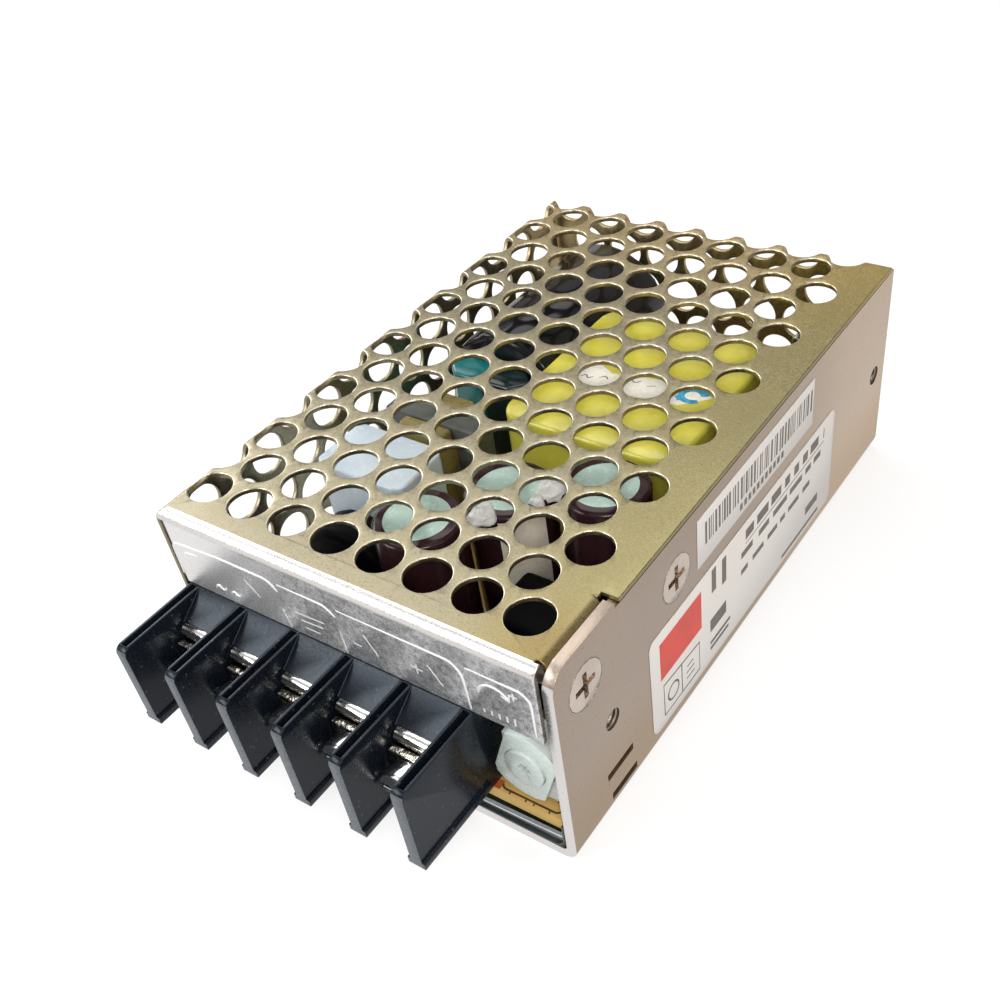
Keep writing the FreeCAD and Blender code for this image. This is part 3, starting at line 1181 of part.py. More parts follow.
def make_all():
    """Build every sub-part and name it."""
    node("chassis", make_chassis())
    node("mesh_cover", make_mesh_cover())
    node("insulating_sheet", make_insulator())
    node("circuit_board", make_board())
    node("board_screws", make_board_screws())
    node("cover_screw", make_sunk_screw("cover_screw", (right, cover_screw_y, cover_screw_z), "-X",
                                        S.sunk_screw_length))
    node("rectifier_screw", make_sunk_screw("rectifier_screw",
                                            (right, rectifier_screw_y, rectifier_screw_z), "-X",
                                            S.sunk_screw_length))
    node("rating_label", padded("rating_label", "YZ_Plane",
                                rectangle(S.rating_label_length, S.rating_label_height,
                                          S.label_corner), S.label_sheet,
                                (right, front + S.rating_label_at_y, rating_label_z)))
    node("serial_label", box("serial_label",
                             (right, front + S.serial_label_at_y, serial_label_z),
                             (S.label_sheet, S.serial_label_length, S.serial_label_height)))
    node("terminal_block", make_terminal_block())
    for number, x in enumerate(bay_x, start=1):
        node("terminal_contact_%d" % number, make_terminal_contact(number, x))
        node("clamp_washer_%d" % number, make_clamp_washer(number, x))
        node("terminal_screw_%d" % number, make_terminal_screw(number, x))
    node("trimmer_body", make_trimmer_body())
    node("trimmer_rotor", make_trimmer_rotor())
    node("output_rectifier", make_power_device("output_rectifier", rectifier_screw_y,
                                               rectifier_screw_z, S.pad_thickness, True))
    node("rectifier_pad", make_pad())
    node("rectifier_nut", make_nut())
    node("switching_transistor",
         make_power_device("switching_transistor", transistor_y, rectifier_screw_z, 0, False))
    node("transistor_clip", make_clip())
    node("transformer_bobbin",
         make_block("transformer_bobbin", S.transformer_at_x - S.bobbin_rim,
                            S.transformer_at_y - S.bobbin_rim,
                            S.transformer_width + 2 * S.bobbin_rim,
                            S.transformer_length + 2 * S.bobbin_rim, S.bobbin_base,
                            S.transformer_corner * 0.4))
    bobbin_top = board_top + S.bobbin_base
    winding = padded("transformer_winding", "XY_Plane",
                     rectangle(S.transformer_width, S.transformer_length, S.transformer_corner),
                     cover_top_inside - S.transformer_headroom - bobbin_top,
                     (left + S.transformer_at_x, front + S.transformer_at_y, bobbin_top))
    node("transformer_winding", winding)
    spots = ((S.output_cap_1_at_x, S.output_cap_1_at_y), (S.output_cap_2_at_x, S.output_cap_2_at_y),
             (S.output_cap_3_at_x, S.output_cap_3_at_y))
    for number, (x, y) in enumerate(spots, start=1):
        name = "output_capacitor_%d" % number
        node(name, make_can(name, x, y, S.output_cap_radius,
                            cover_top_inside - S.output_cap_headroom - board_top))
    node("auxiliary_capacitor", make_can("auxiliary_capacitor", S.aux_cap_at_x, S.aux_cap_at_y,
                                         S.aux_cap_radius, S.aux_cap_height))
    node("bulk_capacitor", make_bulk_capacitor())
    node("line_capacitor", make_block("line_capacitor", S.x_cap_at_x, S.x_cap_at_y,
                                              S.x_cap_length, S.x_cap_width, S.x_cap_height,
                                              S.x_cap_corner))
    node("teal_capacitor", make_block("teal_capacitor", S.teal_cap_at_x, S.teal_cap_at_y,
                                              S.teal_cap_length, S.teal_cap_width, S.teal_cap_height,
                                              S.teal_cap_width * 0.4))
    node("disc_capacitor", make_disc("disc_capacitor", S.disc_cap_at_x, S.disc_cap_at_y,
                                     S.disc_cap_radius, S.disc_cap_thickness))
    node("surge_varistor", make_disc("surge_varistor", S.varistor_at_x, S.varistor_at_y,
                                     S.varistor_radius, S.varistor_thickness))
    node("inrush_thermistor", make_disc("inrush_thermistor", S.thermistor_at_x, S.thermistor_at_y,
                                        S.thermistor_radius, S.thermistor_thickness))
    node("fuse", prism("fuse", (left + S.fuse_at_x, front + S.fuse_at_y,
                                board_top + S.fuse_radius), "+Y", S.fuse_radius, S.fuse_length,
                       within=True))
    node("choke_core", make_choke_core())
    node("choke_winding", make_choke_winding())
    core, coil = make_output_choke()
    node("output_choke_core", core)
    node("output_choke_coil", coil)
    node("bridge_rectifier", box("bridge_rectifier",
                                 (left + S.bridge_at_x, front + S.bridge_at_y, board_top),
                                 (S.bridge_length, S.bridge_width, S.bridge_height)))
    node("optocoupler", box("optocoupler", (left + S.opto_at_x, front + S.opto_at_y, board_top),
                            (S.opto_length, S.opto_width, S.opto_height)))


def check_all():
    """Stop if any object failed or any sub-part's shape isn't sound."""
    for thing in doc.Objects:
        if "Invalid" in thing.State or "Error" in thing.State:
            raise RuntimeError("%s failed: %s" % (thing.Name, thing.State))
    for label, thing in nodes:
        if thing.Shape.isNull() or not thing.Shape.isValid():
            raise RuntimeError("the shape of %s isn't valid" % label)


make_all()
doc.recompute()
check_all()
os.makedirs("parts", exist_ok=True)
for label, thing in nodes:
    thing.Shape.exportStep("parts/%s.step" % label)
print("%d sub-parts written" % len(nodes))
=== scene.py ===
import math
import random

import bmesh
import bpy
import numpy as np
from mathutils import Matrix, Vector
from mathutils.geometry import delaunay_2d_cdt


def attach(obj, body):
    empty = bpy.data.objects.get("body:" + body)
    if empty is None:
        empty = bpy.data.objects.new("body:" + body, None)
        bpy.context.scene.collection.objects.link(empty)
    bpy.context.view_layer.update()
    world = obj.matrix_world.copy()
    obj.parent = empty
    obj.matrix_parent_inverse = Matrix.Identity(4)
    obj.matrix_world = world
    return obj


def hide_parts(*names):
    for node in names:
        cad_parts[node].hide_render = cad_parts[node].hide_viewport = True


# Looks of the enclosed power supply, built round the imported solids. Lengths here are in
# millimetres in the row frame, and MM turns them into metres.
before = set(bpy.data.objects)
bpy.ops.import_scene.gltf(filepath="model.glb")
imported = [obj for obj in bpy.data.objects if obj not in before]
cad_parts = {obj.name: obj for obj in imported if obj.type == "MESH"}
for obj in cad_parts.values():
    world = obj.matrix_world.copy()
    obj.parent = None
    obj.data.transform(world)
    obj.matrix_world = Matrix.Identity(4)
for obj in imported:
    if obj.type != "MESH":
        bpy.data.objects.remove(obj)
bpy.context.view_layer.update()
MM = 0.001

# The case, its cover sheet and the cover's bends
LEFT, RIGHT, FRONT, BACK, TOP = -25.5, 25.5, -39.0, 39.0, 28.0
SHEET = 0.6
BEND = 1.2
QUARTER = math.pi * BEND / 4
SHORT = BEND - QUARTER
COVER_DEPTH = 27.9
FLANGE_LEFT, FLANGE_RIGHT, FLANGE_DEPTH = -24.5, 23.6, 10.0
TAB_FACE, TAB_DEPTH, TAB_FRONT = 24.2, 10.5, -28.4
NOTCH_FRONT = -27.5

# The cover's round holes: radius, rounding of the rim and spacing, the first column from the
# left, the first row from the front, and how much lower the rows below a fold lie
HOLE_RADIUS, HOLE_RIM, HOLE_STEP = 2.475, 0.11, 6.0
HOLE_MARGIN, FIRST_ROW, FOLD_SHIFT = 3.0, 5.7, 0.5

# Places on the case
WALL_HOLES_Y, WALL_HOLES_Z = (-30.4, 35.6), 13.7
FLOOR_HOLES_Y = (-27.5, 27.5)
BAY_X = (-19.64, -12.02, -4.40, 3.22, 10.84)
BOARD_TOP, WINDING_TOP, CAN_TOP = 5.6, 24.8, 25.35
LABEL_OUT, BAND_OUT = 0.1, 0.03

# In metres and degrees: corners nearer than this are one, and flatter edges are dissolved
WELD, FLAT = 2e-6, 1.5


def add(tree, kind, sockets=None, **settings):
    """A shader node of a kind: each socket gets its value or the output that feeds it."""
    made = tree.nodes.new("ShaderNode" + kind)
    for key, amount in settings.items():
        setattr(made, key, amount)
    for key, given in (sockets or {}).items():
        if isinstance(given, bpy.types.NodeSocket):
            tree.links.new(given, made.inputs[key])
        else:
            made.inputs[key].default_value = given
    return made


def rescale(tree, source, low, high, first=0.0, last=1.0, **settings):
    """A value carried from the range low to high to the range first to last."""
    return add(tree, "MapRange", {"Value": source, "From Min": low, "From Max": high,
                                  "To Min": first, "To Max": last}, **settings).outputs[0]


def blend(tree, factor, one, other, **settings):
    """A mix of two colours."""
    return add(tree, "Mix", data_type="RGBA", sockets={"Factor": factor, "A": one, "B": other},
               **settings).outputs["Result"]


def ramp(tree, source, stops):
    """A colour ramp with (position, colour) stops."""
    made = add(tree, "ValToRGB", {0: source})
    elements = made.color_ramp.elements
    for element, (position, color) in zip((elements[0], elements[1]), (stops[0], stops[-1])):
        element.position = position
        element.color = color + (1,)
    for position, color in stops[1:-1]:
        elements.new(position).color = color + (1,)
    return made.outputs["Color"]


def object_axis(tree, axis):
    """One of an object's own coordinates."""
    place = add(tree, "TexCoord").outputs["Object"]
    return add(tree, "SeparateXYZ", {0: place}).outputs[axis]


def cleared(holder, kind="Material"):
    """The emptied node tree of a material or a world, and the socket of its new output."""
    holder.use_nodes = True
    tree = holder.node_tree
    tree.nodes.clear()
    return tree, add(tree, "Output" + kind).inputs["Surface"]


def wear_group():
    """Fine grain, broad patches and small specks from an object's own coordinates."""
    group = bpy.data.node_groups.new("Wear", "ShaderNodeTree")
    for name in ("Fine", "Patch", "Speck"):
        for label, way in ((name + " Scale", "INPUT"), (name, "OUTPUT")):
            group.interface.new_socket(name=label, in_out=way, socket_type="NodeSocketFloat")
    given = group.nodes.new("NodeGroupInput")
    handed = group.nodes.new("NodeGroupOutput")
    place = add(group, "TexCoord").outputs["Object"]
    for name, detail in (("Fine", 3.0), ("Patch", 4.0)):
        noise = add(group, "TexNoise", {"Vector": place, "Scale": given.outputs[name + " Scale"],
                                        "Detail": detail})
        group.links.new(noise.outputs[0], handed.inputs[name])
    speck_radius = 0.12
    cells = add(group, "TexVoronoi", {"Vector": place, "Scale": given.outputs["Speck Scale"]})
    near = add(group, "Math", {0: cells.outputs["Distance"], 1: speck_radius},
               operation="LESS_THAN")
    group.links.new(near.outputs[0], handed.inputs["Speck"])
    return group


WEAR = wear_group()


def shade(color, factor):
    """A colour made darker or lighter."""
    return tuple(min(1.0, part * factor) for part in color[:3]) + (1.0,)


def surface(name, color, roughness, metallic=0.0, fine=(2600, 0.06), patch=(90, 0.06),
            speck=None, bump=0.15, coat=0.0, through=0.0, shine=0.5, grain=0.3, depth=0.02,
            tint=None, relief_from="Fine", extra=None):
    """A finish with grain in its roughness, patches in its colour and, if wanted, specks.

    fine, patch and speck each start with the scale of a pattern, and end with the reach of
    the roughness, the reach of the colour and the colour of the specks.
    """
    half = 0.5  # the middle of both noises
    material = bpy.data.materials.new(name)
    tree, out = cleared(material)
    wear = add(tree, "Group", {"Fine Scale": fine[0], "Patch Scale": patch[0]}, node_tree=WEAR)
    mixed = add(tree, "Math", {0: wear.outputs["Fine"], 1: grain, 2: wear.outputs["Patch"]},
                operation="MULTIPLY_ADD")
    middle = half + half * grain
    spread = rescale(tree, mixed.outputs[0], middle - 0.15, middle + 0.15)
    tone = blend(tree, spread, shade(color, 1 - patch[1]), shade(color, 1 + patch[1]))
    if speck:
        wear.inputs["Speck Scale"].default_value = speck[0]
        tone = blend(tree, wear.outputs["Speck"], tone, speck[1] + (1.0,))
    if extra:
        tone = extra(tree, tone)
    rough = rescale(tree, wear.outputs["Fine"], half - 0.2, half + 0.2,
                    max(0.03, roughness - fine[1]), roughness + fine[1])
    relief = add(tree, "Bump", {"Strength": bump, "Distance": depth * MM,
                                "Height": wear.outputs[relief_from]})
    shader = add(tree, "BsdfPrincipled", {
        "Base Color": tone, "Roughness": rough, "Metallic": metallic, "Coat Weight": coat,
        "Specular IOR Level": shine, "Transmission Weight": through,
        "Normal": relief.outputs[0]})
    if tint:
        shader.inputs["Specular Tint"].default_value = tint + (1,)
    tree.links.new(shader.outputs[0], out)
    return material


def new_object(name, data):
    """An object at the origin."""
    thing = bpy.data.objects.new(name, data)
    bpy.context.scene.collection.objects.link(thing)
    return thing


def grid_faces(rows, columns, around=False, over=False, start=0):
    """Quads of a grid of points, row by row.

    around joins the last column to the first one, and over the last row to the first one.
    """
    row, column = np.meshgrid(np.arange(rows if over else rows - 1),
                              np.arange(columns if around else columns - 1), indexing="ij")
    below, after = (row + 1) % rows, (column + 1) % columns
    quads = np.stack([row * columns + column, row * columns + after,
                      below * columns + after, below * columns + column], axis=-1)
    return (quads.reshape(-1, 4) + start).tolist()


def mesh_piece(name, points, faces, materials, body="case", smooth=False,
               face_slots=None):
    """A piece of the object from points in millimetres."""
    mesh = bpy.data.meshes.new(name)
    mesh.from_pydata((np.array(points, float) * MM).tolist(), [], faces)
    for material in materials:
        mesh.materials.append(material)
    if face_slots is not None:
        mesh.polygons.foreach_set("material_index", face_slots)
    work = bmesh.new()
    work.from_mesh(mesh)
    bmesh.ops.recalc_face_normals(work, faces=work.faces)
    work.to_mesh(mesh)
    work.free()
    mesh.polygons.foreach_set("use_smooth", [smooth] * len(mesh.polygons))
    thing = new_object(name, mesh)
    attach(thing, body)
    return thing


def weigh(thing):
    """Keep the flat faces flat under smooth shading."""
    modifier = thing.modifiers.new("Normals", "WEIGHTED_NORMAL")
    modifier.keep_sharp = True
    modifier.weight = 90
    return thing


def soften(node, width, material, body="case", segments=2, angle=30, rim=0.0):
    """A copy of a solid with small rounds on its edges.

    With rim, in millimetres, only the edges that near the copy's box on two sides are
    rounded, and the others, such as those of holes, stay sharp.
    """
    name = node + "_look"
    work = bmesh.new()
    work.from_mesh(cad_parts[node].data)
    bmesh.ops.remove_doubles(work, verts=work.verts, dist=WELD)
    bmesh.ops.dissolve_limit(work, angle_limit=math.radians(FLAT), verts=work.verts,
                             edges=work.edges)
    if rim:
        spots = np.array([vertex.co for vertex in work.verts]) / MM
        low, high = spots.min(axis=0), spots.max(axis=0)
        weight = work.edges.layers.float.new("bevel_weight_edge")
        for side in work.edges:
            if len(side.link_faces) == 2 and side.calc_face_angle() > math.radians(angle):
                middle = np.array((side.verts[0].co + side.verts[1].co) / 2) / MM
                outer = bool((np.minimum(middle - low, high - middle) < rim).sum() > 1)
                side[weight] = 1.0 if outer else 0.0
                side.smooth = outer
    mesh = bpy.data.meshes.new(name)
    work.to_mesh(mesh)
    work.free()
    mesh.materials.append(material)
    mesh.polygons.foreach_set("use_smooth", [True] * len(mesh.polygons))
    thing = new_object(name, mesh)
    edge = thing.modifiers.new("Edges", "BEVEL")
    edge.width = width * MM
    edge.segments = segments
    edge.limit_method = "WEIGHT" if rim else "ANGLE"
    edge.angle_limit = math.radians(angle)
    edge.use_clamp_overlap = True
    edge.harden_normals = True
    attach(thing, body)
    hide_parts(node)
    return thing


def paint(thing, material, chosen):
    """Another material, painting highlight or shade, on faces chosen by their centre and normal."""
    mesh = thing.data
    mesh.materials.append(material)
    for face in mesh.polygons:
        if chosen(face.center / MM, face.normal):
            face.material_index = len(mesh.materials) - 1


def rings(profile, sides, spot, axis):
    """Points of a turned form: a ring of sides points for each (radius, distance along axis).

    A point is spot + radius * (cosine * u + sine * v) + distance * axis, with u and v square
    to the axis.
    """
    radius, along = np.array(profile, float).T[:, :, None]
    angle = 2 * math.pi * np.arange(sides) / sides
    local = np.stack([radius * np.cos(angle), radius * np.sin(angle), along + 0 * angle], axis=-1)
    turn = np.array(Vector((0, 0, 1)).rotation_difference(Vector(axis)).to_matrix())
    return local.reshape(-1, 3) @ turn.T + spot


def lathe(name, profile, spot, axis, material, sides=48, closed=True):
    """A piece turned about an axis from a profile of (radius, distance along the axis).

    Closed joins the last ring to the first one and leaves the middle open, otherwise the two
    ends are filled.
    """
    faces = grid_faces(len(profile), sides, around=True, over=closed)
    if not closed:
        faces.append(list(range(sides)))
        faces.append([(len(profile) - 1) * sides + side for side in range(sides)])
    thing = mesh_piece(name, rings(profile, sides, spot, axis), faces, [material],
                       smooth=True)
    thing.data.set_sharp_from_angle(angle=math.radians(40))
    return weigh(thing)


def inset_loop(loop, reach):
    """A closed loop moved towards its left side by reach, corner by corner."""
    spots = np.array(loop, float)
    along = np.roll(spots, -1, axis=0) - spots
    along /= np.linalg.norm(along, axis=1)[:, None]
    side = np.stack([-along[:, 1], along[:, 0]], axis=1)
    before = np.roll(side, 1, axis=0)
    spread = np.maximum(1 + (side * before).sum(axis=1), 0.35)
    return spots + reach * (side + before) / spread[:, None]


def flat_sheet(outline, holes, thickness, edge, sides=36):
    """A closed flat sheet with round holes and rounded rims, as a bmesh in millimetres.

    Every rim is a stack of loops: across the rim's quarter rounds they move into the sheet by
    edge times one less the cosine of the angle. Triangles between the rims fill both faces.
    """
    area = sum(a[0] * b[1] - b[0] * a[1] for a, b in zip(outline, outline[1:] + outline[:1]))
    loops = [outline if area > 0 else outline[::-1]]
    angles = [-2 * math.pi * (side + 0.37) / sides for side in range(sides)]
    for x, y, radius in holes:
        loops.append([(x + radius * math.cos(turn), y + radius * math.sin(turn))
                      for turn in angles])
    levels = []
    for step in range(3):
        angle = math.pi / 2 * step / 2
        levels.append((edge * (1 - math.sin(angle)), edge * (1 - math.cos(angle))))
    levels += [(reach, thickness - height) for reach, height in reversed(levels)]
    work = bmesh.new()
    rims = []
    for number, loop in enumerate(loops):
        rows = []
        for reach, height in levels:
            rows.append([work.verts.new((x, y, height)) for x, y in inset_loop(loop, reach)])
        rims.append(rows)
        for row, (low, high) in enumerate(zip(rows, rows[1:])):
            for side in range(len(low)):
                after = (side + 1) % len(low)
                face = work.faces.new((low[side], low[after], high[after], high[side]))
                # The upper half of each hole's rim takes the fourth material, a painted highlight
                face.material_index = 3 if number and row > 2 else 0
    spots, edges, owners = [], [], []
    for number, rows in enumerate(rims):
        start = len(spots)
        count = len(rows[0])
        spots += [Vector(vertex.co[:2]) for vertex in rows[0]]
        owners += [(number, side) for side in range(count)]
        edges += [(start + side, start + (side + 1) % count) for side in range(count)]
    outer = list(range(len(rims[0][0])))
    kept, _, triangles, sources, _, _ = delaunay_2d_cdt(spots, edges, [outer], 1, 1e-6)
    centres = np.array([hole[:2] for hole in holes]).reshape(-1, 2)
    radii = np.array([hole[2] for hole in holes])
    for triangle in triangles:
        middle = np.mean([kept[corner] for corner in triangle], axis=0)
        if (np.hypot(*(centres - middle).T) < (radii + edge) * 0.995).any():
            continue
        marks = [owners[sources[corner][0]] for corner in triangle]
        work.faces.new([rims[rim][0][side] for rim, side in reversed(marks)])
        work.faces.new([rims[rim][-1][side] for rim, side in marks])
    return work


def slice_at(work, axis, places):
    """Cut a flat sheet's faces along lines, so that it can bend there."""
    normal = Vector((1, 0, 0)) if axis == 0 else Vector((0, 1, 0))
    for place in places:
        everything = work.verts[:] + work.edges[:] + work.faces[:]
        bmesh.ops.bisect_plane(work, geom=everything, plane_co=normal * place, plane_no=normal,
                               dist=1e-5)


def bend(place, height):
    """How far in from the outer face and how deep below the top a sheet point lies.

    place is measured along the sheet from the middle of the fold, positive on the top, and
    height is the point's height in the sheet's thickness.
    """
    radius = BEND - SHEET + height
    angle = math.pi / 4 + np.clip(place, -QUARTER, QUARTER) / BEND
    inward = np.where(place > QUARTER, place + SHORT, BEND - radius * np.cos(angle))
    depth = np.where(place < -QUARTER, SHORT - place, BEND - radius * np.sin(angle))
    return inward, depth


def mitre(count=6):
    """The line where two folds meet, as (place along one fold, place along the other)."""
    line = []
    for step in range(count + 1):
        place = -QUARTER + 2 * QUARTER * step / count
        inward = BEND - BEND * math.cos(math.pi / 4 + place / BEND)
        line.append((place, inward - SHORT))
    return line


def on_sheet(x, y):
    """Flat coordinates of a point on the top."""
    return x - LEFT - SHORT, y - FRONT - SHORT


FLAT_BACK = BACK - FRONT - 2 * SHORT
FLAT_TAB = TAB_FACE - LEFT - 2 * SHORT
TAB_START = QUARTER + 0.35
TAB_STOP = on_sheet(0, TAB_FRONT)[1]


def cover_outline():
    """The flat pattern of the cover: top, left wall, front flange, inner tab and back wall."""
    wall_end = -(COVER_DEPTH - SHORT)
    flange_left = on_sheet(FLANGE_LEFT, 0)[0]
    flange_right = on_sheet(FLANGE_RIGHT, 0)[0]
    flange_end = -(FLANGE_DEPTH - SHORT)
    right_edge = on_sheet(RIGHT, 0)[0]
    back_right = on_sheet(TAB_FACE, 0)[0]
    notch = on_sheet(FLANGE_RIGHT, NOTCH_FRONT)
    tab_near, tab_far = FLAT_TAB - QUARTER, FLAT_TAB + TAB_DEPTH - SHORT
    line = mitre()
    points = [(wall_end, -SHORT)]
    points += [(a, b) for a, b in line]
    points += [(b, a) for a, b in reversed(line)][1:]
    points += [(flange_left, -QUARTER), (flange_left, flange_end), (flange_right, flange_end),
               (flange_right, QUARTER), (tab_near, QUARTER), (tab_near, TAB_START),
               (tab_far, TAB_START), (tab_far, TAB_STOP), (tab_near, TAB_STOP),
               (notch[0], TAB_STOP + 0.12), notch, (right_edge, notch[1]),
               (right_edge, FLAT_BACK - 0.4), (back_right, FLAT_BACK - 0.4),
               (back_right, FLAT_BACK - wall_end), (-SHORT, FLAT_BACK - wall_end)]
    hole = (on_sheet(LEFT + HOLE_MARGIN, 0)[0], FLAT_BACK)
    back_line = [(b, FLAT_BACK - a) for a, b in line]
    left_line = [(a, FLAT_BACK - b) for a, b in reversed(line)]
    points += [point for point in back_line if math.dist(point, hole) > HOLE_RADIUS]
    low, high = math.radians(172.5), math.radians(-172.5)
    for step in range(33):
        angle = low + (high - low) * step / 32
        points.append((hole[0] + HOLE_RADIUS * math.cos(angle),
                       hole[1] + HOLE_RADIUS * math.sin(angle)))
    points += [point for point in left_line if math.dist(point, hole) > HOLE_RADIUS]
    points += [(-QUARTER, FLAT_BACK - 0.74), (wall_end, FLAT_BACK - 0.74)]
    clean = []
    for point in points:
        if not clean or math.dist(clean[-1], point) > 1e-4:
            clean.append(point)
    return clean


def cover_holes():
    """Centres and radii of the round holes in the flat pattern."""
    row_step = HOLE_STEP * math.sqrt(3) / 2
    holes = []

    def along_x(row, v, first=0):
        odd = row % 2
        for column in range(first, 8 - odd):
            x = LEFT + HOLE_MARGIN + HOLE_STEP * (column + odd / 2)
            holes.append((on_sheet(x, 0)[0], v, HOLE_RADIUS))

    for row in range(14):
        odd = row % 2
        v = on_sheet(0, FRONT + FIRST_ROW + row * row_step)[1]
        along_x(row, v)
        if odd:
            holes.append((0.0, v, HOLE_RADIUS))
        for column in range(3):
            down = HOLE_MARGIN + HOLE_STEP * (column + odd / 2) + FOLD_SHIFT - SHORT
            holes.append((-down, v, HOLE_RADIUS))
    for row in range(4):
        along_x(row, FLAT_BACK + row * row_step + (FOLD_SHIFT - SHORT if row else 0.0),
                first=0 if row else 1)
    return holes


def make_cover(top_material, fold_highlight_material, flange_material, rim_highlight_material):
    """The folded perforated cover: a flat sheet with round holes, bent along its folds.

    Each point keeps its place along the sheet and is wrapped round the fold it lies on, at the
    outer radius of the bend less its depth in the sheet. The front fold and the upper hole rims
    get brighter colours as painted highlights, and the flange a finish with a painted highlight
    at its left end.
    """
    work = flat_sheet(cover_outline(), cover_holes(), SHEET, HOLE_RIM)
    steps = [-QUARTER + 2 * QUARTER * step / 6 for step in range(7)]
    slice_at(work, 0, steps)
    slice_at(work, 0, [FLAT_TAB - step for step in steps])
    slice_at(work, 1, steps)
    slice_at(work, 1, [FLAT_BACK - step for step in steps])
    u, v, w = np.array([vertex.co for vertex in work.verts]).T
    behind = FLAT_BACK - v
    aside = FLAT_TAB - u
    in_left, deep_left = bend(u, w)
    in_front, deep_front = bend(v, w)
    in_back, deep_back = bend(behind, w)
    in_tab, deep_tab = bend(aside, w)
    left = (u < QUARTER) & (u <= v + 1e-6) & (u <= behind + 1e-6)
    ahead = (v < QUARTER) & ~left
    rear = (behind < QUARTER) & ~left
    tab = (aside < QUARTER) & (v > QUARTER + 0.07) & (v < TAB_STOP + 0.1)
    x = np.where(left, LEFT + in_left, np.where(tab, TAB_FACE - in_tab, LEFT + u + SHORT))
    y = np.where(ahead, FRONT + in_front, np.where(rear, BACK - in_back, FRONT + v + SHORT))
    z = TOP - np.select([left, ahead, rear, tab], [deep_left, deep_front, deep_back, deep_tab],
                        SHEET - w)
    # The front fold takes the fold colour, a painted highlight, and the flange its own finish
    for face in work.faces:
        middle = face.calc_center_median()
        if middle.y < QUARTER and middle.x > middle.y:
            face.material_index = 1 if middle.y > -QUARTER else 2
    for vertex, place in zip(work.verts, np.stack([x, y, z], axis=1)):
        vertex.co = place * MM
    bmesh.ops.recalc_face_normals(work, faces=work.faces)
    mesh = bpy.data.meshes.new("mesh_cover_look")
    work.to_mesh(mesh)
    work.free()
    for material in (top_material, fold_highlight_material, flange_material, rim_highlight_material):
        mesh.materials.append(material)
    mesh.polygons.foreach_set("use_smooth", [True] * len(mesh.polygons))
    mesh.set_sharp_from_angle(angle=math.radians(60))
    thing = weigh(new_object("mesh_cover_look", mesh))
    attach(thing, "case")
    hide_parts("mesh_cover")
    return thing


def round_path(corners, radius, steps=5):
    """A path of (a, b) points whose inner corners are rounded."""
    path = [corners[0]]
    for before, corner, after in zip(corners, corners[1:], corners[2:]):
        near = Vector(before) - Vector(corner)
        far = Vector(after) - Vector(corner)
        reach = min(radius, near.length * 0.5, far.length * 0.5)
        start = Vector(corner) + near.normalized() * reach
        stop = Vector(corner) + far.normalized() * reach
        for step in range(steps + 1):
            t = step / steps
            point = start * (1 - t) ** 2 + Vector(corner) * 2 * t * (1 - t) + stop * t ** 2
            path.append((point.x, point.y))
    path.append(corners[-1])
    return path


def ridges(name, paths, width, height, face, material, smooth=True):
    """Raised lines on a face, one along each path of (a, b) points.

    Across its width a line is as high as height times the cosine of the share of a quarter
    turn. It is narrower and lower at its ends. face turns (a, b, out) to x, y, z.
    """
    points, faces = [], []
    share = np.linspace(-1, 1, 7)
    for path in paths:
        path = np.array(path, float)
        padded = np.concatenate([path[:1], path, path[-1:]])
        along = padded[2:] - padded[:-2]
        along /= np.linalg.norm(along, axis=1)[:, None]
        across = np.stack([-along[:, 1], along[:, 0]], axis=1)
        tip = np.ones((len(path), 1))
        tip[[0, -1]] = 0.25
        spread = share * width / 2 * (0.6 + 0.4 * tip)
        a, b = np.moveaxis(path[:, None] + across[:, None] * spread[..., None], -1, 0)
        rows = np.stack(face(a, b, height * tip * np.cos(share * math.pi / 2)), axis=-1)
        faces += grid_faces(len(path), len(share), start=len(points))
        points += rows.reshape(-1, 3).tolist()
    return mesh_piece(name, points, faces, [material], smooth=smooth)


def on_flange(a, b, out):
    """A place on the front flange."""
    return a, FRONT - out, b


def on_label(a, b, out):
    """A place on a label's outer face."""
    return RIGHT + LABEL_OUT + out, a, b


def on_board(a, b, out):
    """A place on the circuit board's upper face."""
    return a, b, BOARD_TOP + out


def on_winding(a, b, out):
    """A place on the taped transformer's top."""
    return a, b, WINDING_TOP + out


def on_band(a, b, out):
    """A place on the white band of the taped transformer."""
    return on_winding(a, b, out + BAND_OUT)


def film_front(a, b, out):
    """A place on the film's front edge: across b it bulges by a quarter of a sine wave."""
    bulge = 0.3 * np.sin(math.pi / 2 * np.minimum(1.0, b / 2.6))
    return a, FRONT - out + 0.35 - bulge, 1.25 + b


def bars(name, boxes, material, face, depth=0.006, body="case"):
    """Flat fields of print or painted shade: each is (lowest a, lowest b, highest a, highest b)."""
    points, faces = [], []
    for a, b, c, d in boxes:
        start = len(points)
        for out in (0.0, depth):
            points += [face(*spot, out) for spot in ((a, b), (c, b), (c, d), (a, d))]
        for quad in ((4, 5, 6, 7), (0, 1, 5, 4), (1, 2, 6, 5), (2, 3, 7, 6), (3, 0, 4, 7)):
            faces.append([start + corner for corner in quad])
    return mesh_piece(name, points, faces, [material], body)


# Finishes, with colours that paint light and shade among them


def flange_patches_and_highlight(tree, color):
    """Grainy grey patches of a rolled tin coat, with a painted highlight at the left end."""
    place = add(tree, "TexCoord").outputs["Object"]
    broad = add(tree, "TexNoise", {"Vector": place, "Scale": 1000.0, "Detail": 9.0,
                                   "Roughness": 0.86})
    # Painted highlight: brighter towards the left end
    along = rescale(tree, object_axis(tree, "X"), -17 * MM, -4 * MM, 0.22, 0.0)
    total = add(tree, "Math", {0: broad.outputs[0], 1: along}, operation="ADD")
    return ramp(tree, total.outputs[0], ((0.40, (0.36, 0.37, 0.39)), (0.56, (1.0, 1.0, 1.0))))


def drift(tree, color, axis, first, last, tint):
    """A colour that turns into another one along an axis, between two places in millimetres."""
    along = rescale(tree, object_axis(tree, axis), first * MM, last * MM,
                    interpolation_type="SMOOTHSTEP")
    return blend(tree, along, color, tint + (1,), blend_type="MULTIPLY")


